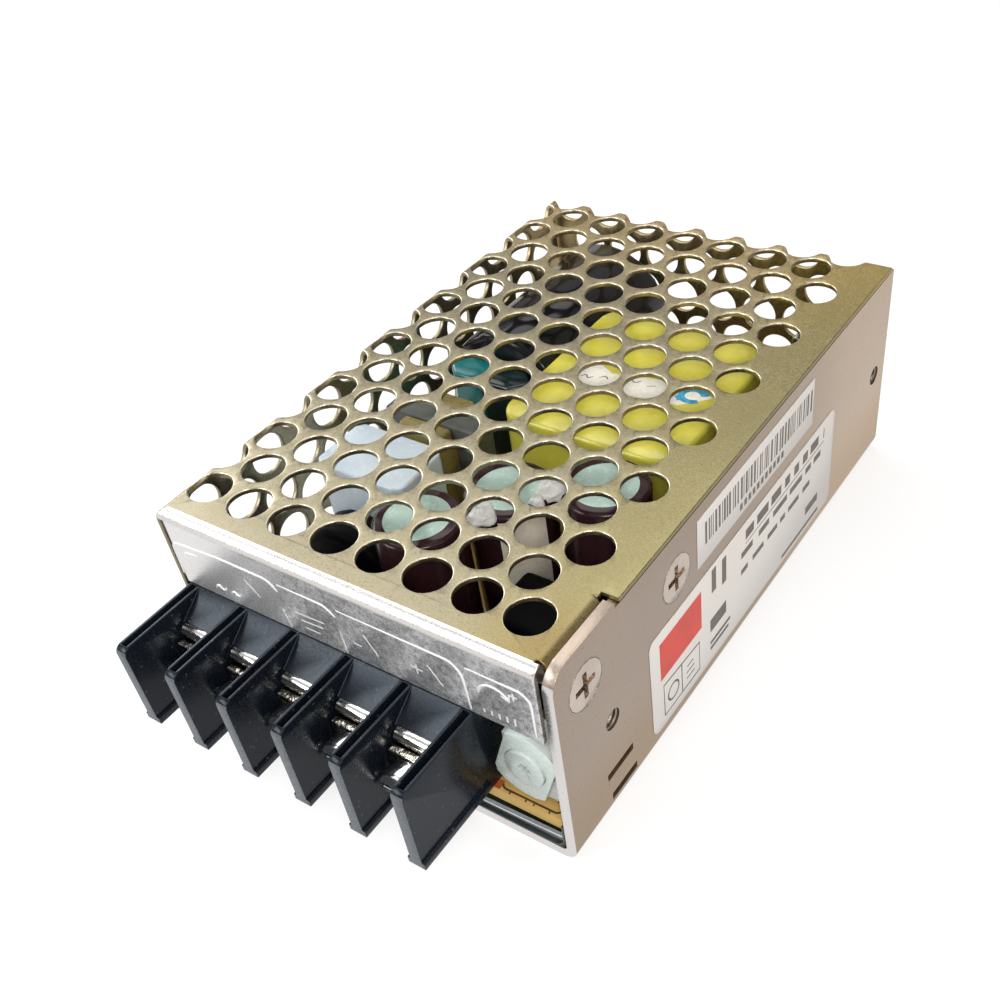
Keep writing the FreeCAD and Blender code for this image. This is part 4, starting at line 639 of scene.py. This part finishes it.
def wall_painted_shade(tree, color):
    """Painted shade on the case: darker towards the front and browner low down."""
    color = drift(tree, color, "Y", 36, -8, (0.70, 0.70, 0.73))
    return drift(tree, color, "Z", 14, 4, (0.97, 0.90, 0.78))


def cover_painted_shade(tree, color):
    """Painted shade: browner to the right, darker to the front, brown at the front right bend."""
    color = drift(tree, color, "X", 10, 22, (1.0, 0.98, 0.75))
    color = drift(tree, color, "Y", 38, 12, (0.68, 0.76, 0.95))
    # Painted shade: a brown spot round the front right corner, where the sheet bends down
    place = add(tree, "TexCoord").outputs["Object"]
    away = add(tree, "VectorMath", {0: place, 1: (23 * MM, -36 * MM, 28 * MM)},
               operation="DISTANCE")
    near = rescale(tree, away.outputs["Value"], 1.5 * MM, 9 * MM, 0.55, 0.0)
    return blend(tree, near, color, (0.72, 0.55, 0.38, 1), blend_type="MULTIPLY")


def teal_end(tree, color):
    """Teal at the left end and almost black from there on."""
    along = rescale(tree, object_axis(tree, "X"), -15.5 * MM, -14.0 * MM)
    return blend(tree, along, color, (0.004, 0.02, 0.022, 1))


cover_metal = surface("cover_metal", (0.50, 0.40, 0.215), 0.42, metallic=1.0, fine=(5200, 0.12),
                      patch=(60, 0.13), speck=(1500, (0.27, 0.23, 0.14)), bump=0.8, grain=2.5,
                      extra=cover_painted_shade)
# The holes' upper rims get a brighter copy of the cover metal, a painted highlight
rim_highlight_metal = surface("rim_highlight_metal", (0.66, 0.60, 0.46), 0.28, metallic=1.0, fine=(3000, 0.1),
                    patch=(60, 0.05))
# The front fold's brighter copy of the cover metal is a painted highlight on the bend
fold_highlight_metal = surface("fold_highlight_metal", (0.93, 0.91, 0.88), 0.30, metallic=1.0, fine=(5200, 0.08),
                     patch=(60, 0.04), bump=0.2)
flange_metal = surface("flange_metal", (0.80, 0.80, 0.82), 0.34, metallic=0.85,
                       fine=(6000, 0.12), patch=(60, 0.04), bump=0.9, depth=0.04,
                       extra=flange_patches_and_highlight)
flange_mark = surface("flange_mark", (1.0, 1.0, 1.0), 0.35, metallic=0.35, fine=(3000, 0.06),
                      patch=(100, 0.03), bump=0.1)
case_metal = surface("case_metal", (0.70, 0.58, 0.46), 0.42, metallic=1.0, fine=(4200, 0.07),
                     patch=(45, 0.06), speck=(900, (0.60, 0.50, 0.40)), bump=0.35, grain=2.0,
                     extra=wall_painted_shade)
# A brighter copy of the case metal, a painted highlight on its front faces
case_edge_highlight = surface("case_edge_highlight", (0.92, 0.90, 0.89), 0.30, metallic=1.0, fine=(4200, 0.07),
                    patch=(45, 0.04), bump=0.2)
# A dark brown that paints the shade in the slot and the holes
recess_shade_brown = surface("recess_shade_brown", (0.16, 0.10, 0.05), 0.5, metallic=0.6, fine=(1800, 0.1),
                     patch=(400, 0.25))
steel = surface("steel", (0.72, 0.62, 0.54), 0.30, metallic=1.0, fine=(2600, 0.08),
                patch=(300, 0.08))
bright_steel = surface("bright_steel", (0.90, 0.89, 0.87), 0.16, metallic=1.0,
                       fine=(1800, 0.07), patch=(500, 0.10), bump=0.3)
# A darker steel that paints the shade in threaded holes and round screw heads
shaded_steel = surface("shaded_steel", (0.40, 0.37, 0.33), 0.40, metallic=1.0, fine=(2600, 0.1),
                     patch=(300, 0.2))
rolled_steel = surface("rolled_steel", (0.93, 0.90, 0.85), 0.13, metallic=1.0,
                       fine=(1500, 0.04), patch=(260, 0.10), bump=0.5, depth=0.3,
                       relief_from="Patch")
lumpy_steel = surface("lumpy_steel", (0.90, 0.83, 0.72), 0.16, metallic=1.0, fine=(1500, 0.05),
                      patch=(700, 0.15), bump=1.0, depth=0.5, relief_from="Patch")
# Dark metal that paints the shade in the screws' cross recesses
recess_shade_metal = surface("recess_shade_metal", (0.16, 0.07, 0.035), 0.35, metallic=1.0,
                       fine=(2600, 0.1), patch=(400, 0.25))
spring = surface("spring_look", (0.45, 0.45, 0.45), 0.28, metallic=1.0, fine=(1800, 0.08),
                 patch=(300, 0.1))
black_gloss = surface("black_gloss", (0.006, 0.009, 0.014), 0.24, fine=(3800, 0.08),
                      patch=(120, 0.2), speck=(900, (0.05, 0.055, 0.065)), bump=0.2, shine=0.3,
                      tint=(0.84, 0.92, 1.0))
# A lighter copy of the black gloss, a painted highlight on the fins' front faces
fin_edge_highlight = surface("fin_edge_highlight", (0.10, 0.115, 0.13), 0.32, fine=(2600, 0.10),
                   patch=(2400, 0.16), bump=0.6, depth=0.06, tint=(0.8, 0.9, 1.0))
black_matt = surface("black_matt", (0.002, 0.0022, 0.003), 0.5, fine=(3000, 0.08),
                     patch=(200, 0.2), shine=0.06)
film = surface("film", (0.035, 0.05, 0.05), 0.18, fine=(1500, 0.05), patch=(120, 0.25))
film_edge = surface("film_edge", (0.16, 0.20, 0.21), 0.25, fine=(1500, 0.05), patch=(120, 0.25))
film_light = surface("film_light", (0.72, 0.78, 0.80), 0.25, fine=(1500, 0.05),
                     patch=(120, 0.1))
label_white = surface("label_white", (0.80, 0.78, 0.75), 0.42, fine=(2600, 0.05),
                      patch=(60, 0.02))
print_grey = surface("print_grey", (0.16, 0.14, 0.12), 0.5, fine=(2600, 0.05),
                     patch=(900, 0.12))
print_red = surface("print_red", (0.72, 0.06, 0.035), 0.42, fine=(2600, 0.05),
                    patch=(300, 0.08))
laminate = surface("laminate", (0.62, 0.41, 0.12), 0.38, fine=(2200, 0.08), patch=(160, 0.10))
laminate_mark = surface("laminate_mark", (0.10, 0.055, 0.02), 0.45, fine=(2200, 0.08),
                        patch=(300, 0.2))
laminate_red = surface("laminate_red", (0.45, 0.10, 0.03), 0.4, fine=(2200, 0.08),
                       patch=(300, 0.2))
milky = surface("milky", (0.66, 0.75, 0.72), 0.28, fine=(1800, 0.04), patch=(160, 0.03),
                bump=0.02)
trimmer_dark = surface("trimmer_dark", (0.20, 0.22, 0.18), 0.4, fine=(1800, 0.05),
                       patch=(160, 0.1))
yellow = surface("yellow_tape_look", (0.68, 0.62, 0.075), 0.20, fine=(1400, 0.06),
                 patch=(160, 0.10), coat=0.4)
tape_white = surface("tape_white", (0.85, 0.83, 0.74), 0.28, fine=(1400, 0.05),
                     patch=(200, 0.06))
tape_blue = surface("tape_blue", (0.03, 0.30, 0.50), 0.3, fine=(1400, 0.05), patch=(900, 0.4))
tape_ink = surface("tape_ink", (0.06, 0.05, 0.05), 0.4, fine=(1400, 0.05), patch=(900, 0.2))
maroon = surface("maroon_sleeve", (0.036, 0.013, 0.015), 0.18, fine=(1400, 0.05),
                 patch=(200, 0.15), shine=0.35)
cream = surface("cream_mark", (1.0, 0.88, 0.72), 0.3, fine=(1400, 0.05), patch=(400, 0.08))
glue = surface("glue", (0.95, 0.94, 0.90), 0.30, fine=(900, 0.10), patch=(700, 0.08), bump=0.5,
               through=0.25)
sleeve = surface("dark_sleeve_look", (0.010, 0.010, 0.012), 0.16, fine=(1400, 0.04),
                 patch=(200, 0.15), coat=0.1, shine=0.3)
can_top = surface("can_top", (0.42, 0.57, 0.50), 0.25, metallic=0.1, fine=(1400, 0.06),
                  patch=(260, 0.10))
pale_blue = surface("pale_blue", (0.78, 0.90, 1.0), 0.24, fine=(1400, 0.05), patch=(200, 0.05))
blue = surface("blue_coat", (0.01, 0.17, 0.36), 0.16, fine=(1400, 0.05), patch=(200, 0.10),
               coat=0.4)
teal = surface("teal_coat", (0.004, 0.20, 0.20), 0.16, fine=(1400, 0.05), patch=(300, 0.15),
               coat=0.2, extra=teal_end)
ferrite = surface("ferrite_look", (0.10, 0.11, 0.095), 0.4, fine=(1800, 0.08), patch=(500, 0.2))
olive = surface("olive_look", (0.27, 0.21, 0.06), 0.3, fine=(1800, 0.08), patch=(300, 0.2))

# Case


def in_wall_hole(spot, normal):
    """Whether a face lines one of the threaded holes of the right wall."""
    aside = min(math.hypot(spot.y - y, spot.z - WALL_HOLES_Z) for y in WALL_HOLES_Y)
    return spot.x > 20 and abs(normal.x) < 0.5 and aside < 2.2


make_cover(cover_metal, fold_highlight_metal, flange_metal, rim_highlight_metal)
bars("pocket_shade", [(-32.2, 5.65, -27.3, 6.55)], recess_shade_brown,
     lambda a, b, out: (24.7 + out, a, b), depth=0.02)
chassis_look = soften("chassis", 0.12, case_metal, rim=1.6)
# Painted highlight on the chassis's front-facing faces
paint(chassis_look, case_edge_highlight, lambda spot, normal: normal.y < -0.9 and spot.y < FRONT + 0.2)
# Painted shade inside the wall's threaded holes
paint(chassis_look, recess_shade_brown, in_wall_hole)
soften("insulating_sheet", 0.05, film)
soften("circuit_board", 0.06, laminate)
soften("rating_label", 0.03, label_white, segments=1)
soften("serial_label", 0.03, label_white, segments=1)

# Raised lines of the flange

outlines = [
    round_path([(-24.6, 19.2), (-24.4, 23.9), (-17.2, 24.5), (-9.8, 24.5), (-8.75, 23.3)], 1.0),
    round_path([(-8.5, 24.4), (-1.9, 24.4), (-0.85, 23.3)], 1.1),
    round_path([(-0.45, 24.45), (13.9, 24.45), (14.95, 23.2), (15.2, 18.4)], 1.2),
    round_path([(15.5, 24.4), (21.9, 24.4), (22.8, 23.5), (22.8, 18.7)], 1.2),
    round_path([(-22.8, 20.5), (-22.75, 23.0), (-20.6, 23.2)], 0.5)]
earth = [[(-7.0, 21.2), (-2.9, 21.45)], [(-6.4, 20.3), (-3.2, 20.55)],
         [(-6.0, 19.35), (-4.0, 19.4)]]
strokes = [[(-13.8, 22.9), (-12.1, 21.0)], [(2.6, 22.5), (4.0, 20.0)], [(10.6, 22.3), (12.1, 20.0)]]
volts = [[(0.9, 20.5), (1.9, 20.45)], [(8.3, 21.0), (9.8, 20.9)], [(9.05, 21.6), (9.05, 20.2)]]
waves = [round_path([(-19.4, 19.2), (-18.8, 20.0), (-18.1, 19.2), (-17.5, 20.0)], 0.5),
         round_path([(-17.0, 19.3), (-16.4, 20.0), (-15.8, 19.3), (-15.2, 20.0)], 0.5)]
arc = [(16.6 + 1.9 - 1.9 * math.cos(turn), 21.6 + 1.75 * math.sin(turn))
       for turn in np.linspace(0, 2.75, 12)]
tip_a, tip_b = arc[-1]
arrow = [arc, [(tip_a - 0.9, tip_b + 0.35), arc[-1], (tip_a + 0.1, tip_b + 1.0)]]
plus = [[(20.3, 23.25), (21.3, 23.25)], [(20.8, 23.75), (20.8, 22.75)]]
ticks = [[(16.9 + step * 0.9, 18.95), (16.9 + step * 0.9, 19.5 + 0.12 * step)]
         for step in range(5)]
dividers = [[(-8.9, 20.9), (-8.4, 18.3)], [(-0.8, 21.5), (-0.55, 18.3)]]
ridges("flange_outlines", outlines, 0.36, 0.10, on_flange, flange_mark)
ridges("flange_symbols", earth + strokes + volts + waves + arrow + plus + ticks, 0.34, 0.10,
       on_flange, flange_mark)
ridges("flange_dividers", dividers, 0.30, 0.05, on_flange, flange_mark)

# Labels: plain fields, bars and line boxes

bars("rating_red", [(-21.2, 10.1, -12.2, 15.6)], print_red, on_label)
random.seed(7)
lines = []
for low, high, start, stop in ((14.6, 16.0, -1.7, 19.5), (12.4, 13.3, -2.7, 20.0),
                               (9.9, 10.7, -2.7, 17.0)):
    place = start
    while place < stop:
        length = random.uniform(1.2, 3.8)
        lines.append((place, low, min(place + length, stop), high))
        place += length + random.uniform(0.7, 1.6)
lines += [(-1.7, 13.95, 19.5, 14.1), (8.4, 3.4, 19.0, 3.9), (-9.8, 13.2, -8.8, 16.6),
          (-7.4, 12.4, -6.4, 16.2), (-10.2, 7.4, -6.4, 9.3), (-10.2, 5.4, -5.4, 5.9),
          (-10.2, 4.5, -5.8, 5.0), (15.0, 5.4, 18.6, 6.6)]
bars("rating_lines", lines, print_grey, on_label)
ring = [(-18.7 + 1.15 * math.cos(turn), 6.3 + 1.15 * math.sin(turn))
        for turn in np.linspace(0, 6.28, 25)]
box_lines = [[(-20.7, 4.1), (-20.7, 8.9), (-12.8, 8.3), (-12.8, 4.0), (-20.7, 4.1)],
             [(-16.8, 4.0), (-16.8, 8.6)], ring, [(-15.8, 5.2), (-14.0, 5.2)],
             [(-15.8, 6.1), (-14.0, 6.1)], [(-15.6, 7.0), (-14.2, 7.0)]]
ridges("rating_boxes", box_lines, 0.3, 0.006, on_label, print_grey, smooth=False)
stripes = []
place = -11.1
while place < 14.8:
    wide = random.choice((0.16, 0.16, 0.3, 0.42))
    stripes.append((place, 21.4, place + wide, 24.4))
    place += wide + random.choice((0.22, 0.22, 0.36, 0.5))
stripes += [(-3.2 + 1.02 * step, 19.9, -3.2 + 1.02 * step + 0.62, 20.8) for step in range(11)]
bars("serial_stripes", stripes, print_grey, on_label)

# Screws and threads of the case


def sunk_screw(node, y, z):
    """A countersunk screw in the right wall, with painted shade in its cross recess and round it.
    """
    soften(node, 0.10, steel)
    floor_x = RIGHT - 0.93
    # Painted shade in the cross recess
    for number, (wide, tall) in enumerate(((1.75, 0.46), (0.46, 1.75)), start=1):
        bars("%s_recess_%d" % (node, number), [(y - wide, z - tall, y + wide, z + tall)],
             recess_shade_metal, lambda a, b, out: (floor_x + out, a, b), depth=0.02)
    # Painted shade in the gap round the head
    lathe(node + "_ring", [(2.78, -0.02), (2.90, -0.02), (2.90, 0.012), (2.78, 0.012)],
          (RIGHT, y, z), (1, 0, 0), shaded_steel, sides=56)


def thread_rings(name, spot, axis):
    """Turns of a thread inside a tapped hole: a saw-tooth profile repeated along the axis."""
    radius, pitch, turns, sides = 1.27, 0.5, 5, 32
    profile = [(radius + 0.02, 0.0)]
    for turn in range(turns):
        profile += [(radius - 0.16, (turn + 0.3) * pitch), (radius, (turn + 0.9) * pitch)]
    # The thread's darker steel paints the shade inside the hole
    return mesh_piece(name, rings(profile, sides, spot, axis),
                      grid_faces(len(profile), sides, around=True), [shaded_steel])


sunk_screw("cover_screw", -34.1, 22.5)
sunk_screw("rectifier_screw", -17.0, 21.6)
soften("board_screws", 0.1, steel)
for number, y in enumerate(WALL_HOLES_Y, start=1):
    thread_rings("wall_thread_look_%d" % number, (RIGHT - 0.25, y, WALL_HOLES_Z), (-1, 0, 0))
for number, y in enumerate(FLOOR_HOLES_Y, start=1):
    thread_rings("floor_thread_look_%d" % number, (0, y, 0.25), (0, 0, 1))

# Terminals

block_look = soften("terminal_block", 0.16, black_gloss)
# Painted highlight on the fins' front faces
paint(block_look, fin_edge_highlight, lambda spot, normal: normal.y < -0.85 and spot.y < -47)
for number, x in enumerate(BAY_X, start=1):
    soften("terminal_contact_%d" % number, 0.30, rolled_steel, segments=3)
    lathe("contact_roll_%d" % number, [(0.55, -2.72), (0.80, -2.60), (0.80, 2.60), (0.55, 2.72)],
          (x, -42.75, 14.75), (1, 0, 0), rolled_steel, sides=32, closed=False)
    soften("clamp_washer_%d" % number, 0.22, lumpy_steel,
           body="clamp_%d" % number)
    soften("terminal_screw_%d" % number, 0.5, bright_steel,
           body="screw_%d" % number, segments=4)

# Trimmer

soften("trimmer_body", 0.30, milky, segments=3)
soften("trimmer_rotor", 0.10, milky, body="rotor")
bars("trimmer_slot_shade", [(19.3, 10.85, 19.75, 11.35), (19.85, 10.85, 20.3, 11.35)],
     trimmer_dark, lambda a, b, out: (a, -37.45 - out, b), depth=0.02,
     body="rotor")

# Board prints and the film's front edge

board_lines = [
    round_path([(15.9, -37.6), (16.4, -38.15), (23.1, -38.1), (23.4, -37.3), (23.3, -36.2)], 0.5),
    [(20.0, -36.6), (22.3, -36.1)], [(22.3, -36.1), (22.4, -37.0)]]
board_lines += [[(spot, -38.2), (spot + 0.05, -38.55)] for spot in (17.3, 19.3, 20.3, 22.2)]
ridges("board_lines", board_lines, 0.26, 0.01, on_board, laminate_mark,
       smooth=False)
bars("board_patch", [(14.8, -38.5, 16.1, -37.4)], laminate_red, on_board)

FILM_START, FILM_REACH, FILM_HEIGHT = 12.0, 12.1, 2.55
steps, rows = 25, 9
share, height = np.meshgrid(np.linspace(0, 1, steps), np.linspace(0, 1, rows), indexing="ij")
faces = grid_faces(steps, rows)
mesh_piece("film_front_look",
           np.stack(film_front(FILM_START + FILM_REACH * share,
                               FILM_HEIGHT * height + 0.5 * (share - 0.5) * height, 0.0),
                    axis=-1).reshape(-1, 3),
           faces, [film, film_edge], smooth=True,
           face_slots=[1 if face[0] % rows > 5 else 0 for face in faces])
film_line = [(FILM_START + FILM_REACH * share, 1.35 + 0.35 * share ** 2 + 0.25 * share)
             for share in np.linspace(0, 1, steps)]
ridges("film_line", [film_line], 0.34, 0.05, film_front, film_light)

# Inner parts


def sleeve_stripe(name, spot, radius, angles, heights, material):
    """A strip on a can's side: the can's radius plus a film, over a range of angles."""
    steps = 17
    angle = np.radians(np.linspace(*angles, steps))
    reach = radius + 0.02
    rows = [np.stack([spot[0] + reach * np.cos(angle), spot[1] + reach * np.sin(angle),
                      np.full(steps, height)], axis=-1) for height in heights]
    return mesh_piece(name, np.concatenate(rows), grid_faces(2, steps), [material],
                      smooth=True)


def glue_blob(name, spot, reach, seed):
    """A lump of glue: a ball whose radius swells and shrinks by a sum of three sine waves."""
    turns, rows = 28, 16
    tilt = math.pi * (np.arange(rows + 1)[:, None] + 0.02) / (rows + 0.04)
    angle = 2 * math.pi * np.arange(turns) / turns
    swell = (1 + 0.10 * np.sin(3 * angle + seed) * np.sin(tilt)
             + 0.07 * np.sin(5 * angle + 4 * tilt + seed) * np.sin(tilt)
             + 0.06 * np.sin(7 * tilt + seed))
    ball = np.stack([np.sin(tilt) * np.cos(angle), np.sin(tilt) * np.sin(angle),
                     np.cos(tilt) + 0 * angle], axis=-1)
    points = (swell[..., None] * ball * reach + spot).reshape(-1, 3)
    faces = grid_faces(rows + 1, turns, around=True)
    faces += [list(range(turns)), [rows * turns + side for side in range(turns)]]
    return mesh_piece(name, points, faces, [glue], smooth=True)


soften("output_rectifier", 0.2, black_matt)
soften("rectifier_pad", 0.03, label_white)
soften("rectifier_nut", 0.1, steel)
soften("switching_transistor", 0.2, black_matt)
soften("transistor_clip", 0.06, spring)
soften("transformer_bobbin", 0.3, black_matt)
soften("transformer_winding", 0.6, yellow, segments=4)
band = [(-1.6, 4.6), (-0.4, 3.4), (8.2, 4.6), (13.4, 5.2), (16.4, 8.0), (13.8, 9.6), (6.8, 8.4),
        (3.2, 7.6), (0.2, 9.2)]
mesh_piece("winding_band", [on_winding(a, b, out) for out in (0.0, BAND_OUT) for a, b in band],
           [list(range(len(band), 2 * len(band)))] + grid_faces(2, len(band), around=True),
           [tape_white])
circle = [(14.1 + 1.35 * math.cos(turn), 7.55 + 1.2 * math.sin(turn))
          for turn in np.linspace(0.3, 5.6, 24)]
ridges("winding_ring", [circle, [(12.4, 6.9), (13.1, 6.2)], [(15.0, 8.9), (15.8, 8.2)]], 0.8,
       0.02, on_band, tape_blue, smooth=False)
ink = [round_path([(0.0, 5.6), (0.5, 6.2), (1.0, 5.5), (1.5, 6.1)], 0.3),
       round_path([(2.2, 6.2), (2.9, 6.8), (3.4, 6.3)], 0.3),
       round_path([(6.0, 7.4), (6.8, 7.0), (7.2, 7.7)], 0.4), [(8.3, 7.0), (9.3, 7.5)]]
ridges("winding_ink", ink, 0.16, 0.02, on_band, tape_ink, smooth=False)
can_spots = ((-1.1, -24.8), (4.9, -16.4), (13.9, -11.4))
for number, (x, y) in enumerate(can_spots, start=1):
    name = "output_capacitor_%d" % number
    soften(name, 0.5, maroon, segments=3, angle=40)
    lathe(name + "_top", [(3.7, CAN_TOP), (3.7, CAN_TOP + 0.07), (3.5, CAN_TOP + 0.09)],
          (x, y, 0), (0, 0, 1), can_top, sides=40, closed=False)
sleeve_stripe("polarity_stripe", can_spots[1], 5.0, (-70, -8), (6.0, 24.7), cream)
glue_blob("glue_1", (9.1, -14.6, 25.2), (1.7, 1.9, 0.95), 1)
glue_blob("glue_2", (4.9, -21.2, 25.2), (1.5, 1.7, 1.0), 2)
glue_blob("glue_3", (8.9, -16.9, 25.2), (0.9, 0.9, 0.8), 3)
soften("auxiliary_capacitor", 0.4, sleeve, segments=3, angle=40)
soften("bulk_capacitor", 0.8, sleeve, segments=3, angle=40)
soften("line_capacitor", 0.4, pale_blue, segments=3)
soften("teal_capacitor", 0.6, teal, segments=3)
soften("disc_capacitor", 0.9, blue, segments=4, angle=40)
soften("surge_varistor", 1.0, black_matt, segments=4, angle=40)
soften("inrush_thermistor", 1.0, black_matt, segments=4, angle=40)
soften("fuse", 0.3, sleeve, segments=3, angle=40)
soften("choke_core", 0.3, ferrite)
soften("choke_winding", 0.4, olive, segments=3)
soften("output_choke_core", 0.8, black_matt, segments=3)
soften("output_choke_coil", 0.2, black_matt)
soften("bridge_rectifier", 0.2, black_matt)
soften("optocoupler", 0.2, black_matt)

# Light, floor and camera


def area(name, spot, target, size, power, color):
    """A soft lamp that looks at a target."""
    data = bpy.data.lights.new(name, "AREA")
    data.shape = "RECTANGLE"
    data.size = data.size_y = size * MM
    data.energy = power
    data.color = color
    lamp = new_object(name, data)
    lamp.location = Vector(spot) * MM
    lamp.rotation_euler = (Vector(target) - Vector(spot)).to_track_quat("-Z", "Y").to_euler()
    return lamp


def by_camera(tree, lit, seen):
    """One shader for the camera's own rays, and another one for all others."""
    ray = add(tree, "LightPath").outputs["Is Camera Ray"]
    return add(tree, "MixShader", {"Fac": ray, 1: lit, 2: seen}).outputs[0]


def make_world():
    """White for the camera, and soft sky, walls and a bright table for everything else."""
    world = bpy.data.worlds.new("Surroundings")
    bpy.context.scene.world = world
    tree, out = cleared(world, "World")
    place = add(tree, "TexCoord").outputs["Generated"]
    split = add(tree, "SeparateXYZ", {0: place}).outputs
    sky = ramp(tree, rescale(tree, split["Z"], -0.35, 0.9), (
        (0.0, (0.95, 0.94, 0.95)), (0.22, (0.92, 0.90, 0.88)), (0.34, (0.50, 0.47, 0.44)),
        (0.62, (0.46, 0.44, 0.42)), (0.8, (0.72, 0.72, 0.74)), (1.0, (0.55, 0.56, 0.60))))
    side = ramp(tree, rescale(tree, split["X"], -1.0, 1.0), (
        (0.12, (1.0, 1.0, 1.0)), (0.72, (0.66, 0.61, 0.55))))
    around = blend(tree, 1.0, sky, side, blend_type="MULTIPLY")
    lit = add(tree, "Background", {"Color": around, "Strength": 0.95})
    seen = add(tree, "Background", {"Color": (1, 1, 1, 1), "Strength": 1.0})
    tree.links.new(by_camera(tree, lit.outputs[0], seen.outputs[0]), out)


def make_floor():
    """A wide pale floor just below the case, clear from below.

    The camera sees a white that keeps the object's soft shadow, and to all other rays it is
    as bright as the lower part of the world.
    """
    reach, drop = 2000, -0.05
    mesh = bpy.data.meshes.new("floor")
    corners = [(-reach, -reach, drop), (reach, -reach, drop), (reach, reach, drop),
               (-reach, reach, drop)]
    mesh.from_pydata((np.array(corners) * MM).tolist(), [], [(0, 1, 2, 3)])
    material = bpy.data.materials.new("floor_white")
    tree, out = cleared(material)
    matt = add(tree, "BsdfDiffuse", {"Color": (0.35, 0.35, 0.35, 1)})
    lift = add(tree, "Emission", {"Strength": 0.71})
    seen = add(tree, "AddShader", {0: matt.outputs[0], 1: lift.outputs[0]})
    lit = add(tree, "Emission", {"Color": (0.93, 0.91, 0.90, 1), "Strength": 0.82})
    behind = add(tree, "NewGeometry").outputs["Backfacing"]
    both = add(tree, "MixShader", {
        "Fac": behind, 1: by_camera(tree, lit.outputs[0], seen.outputs[0]),
        2: add(tree, "BsdfTransparent").outputs[0]})
    tree.links.new(both.outputs[0], out)
    mesh.materials.append(material)
    new_object("floor", mesh)


make_world()
make_floor()
area("camera_side", (95, -125, 150), (5, -10, 20), 70, 0.16, (1.0, 0.99, 0.97))
area("front_left", (-160, -230, 190), (0, -10, 10), 160, 0.5, (0.93, 0.96, 1.0))
area("window", (-330, 60, 190), (0, 0, 15), 180, 0.5, (0.97, 0.98, 1.0))
area("overhead", (-60, 90, 260), (0, 0, 10), 200, 0.25, (1.0, 0.98, 0.95))
area("right_side", (240, -60, 120), (10, 0, 10), 140, 0.12, (1.0, 0.95, 0.90))

lens = bpy.data.cameras.new("camera")
lens.sensor_width = 36.0
lens.lens = 41.615
lens.shift_x = -0.050
lens.shift_y = 0.082
lens.clip_start = 0.01
camera = new_object("camera", lens)
axes = Matrix(((0.829672, 0.548775, -0.102427), (0.317842, -0.615192, -0.721468),
               (-0.458935, 0.566026, -0.684831)))
turn = Matrix((axes[0], -axes[1], -axes[2])).transposed().to_4x4()
camera.matrix_world = Matrix.Translation(Vector((68.4128, -90.0579, 102.2548)) * MM) @ turn
bpy.context.scene.camera = camera
bpy.context.scene.view_settings.view_transform = "Standard"
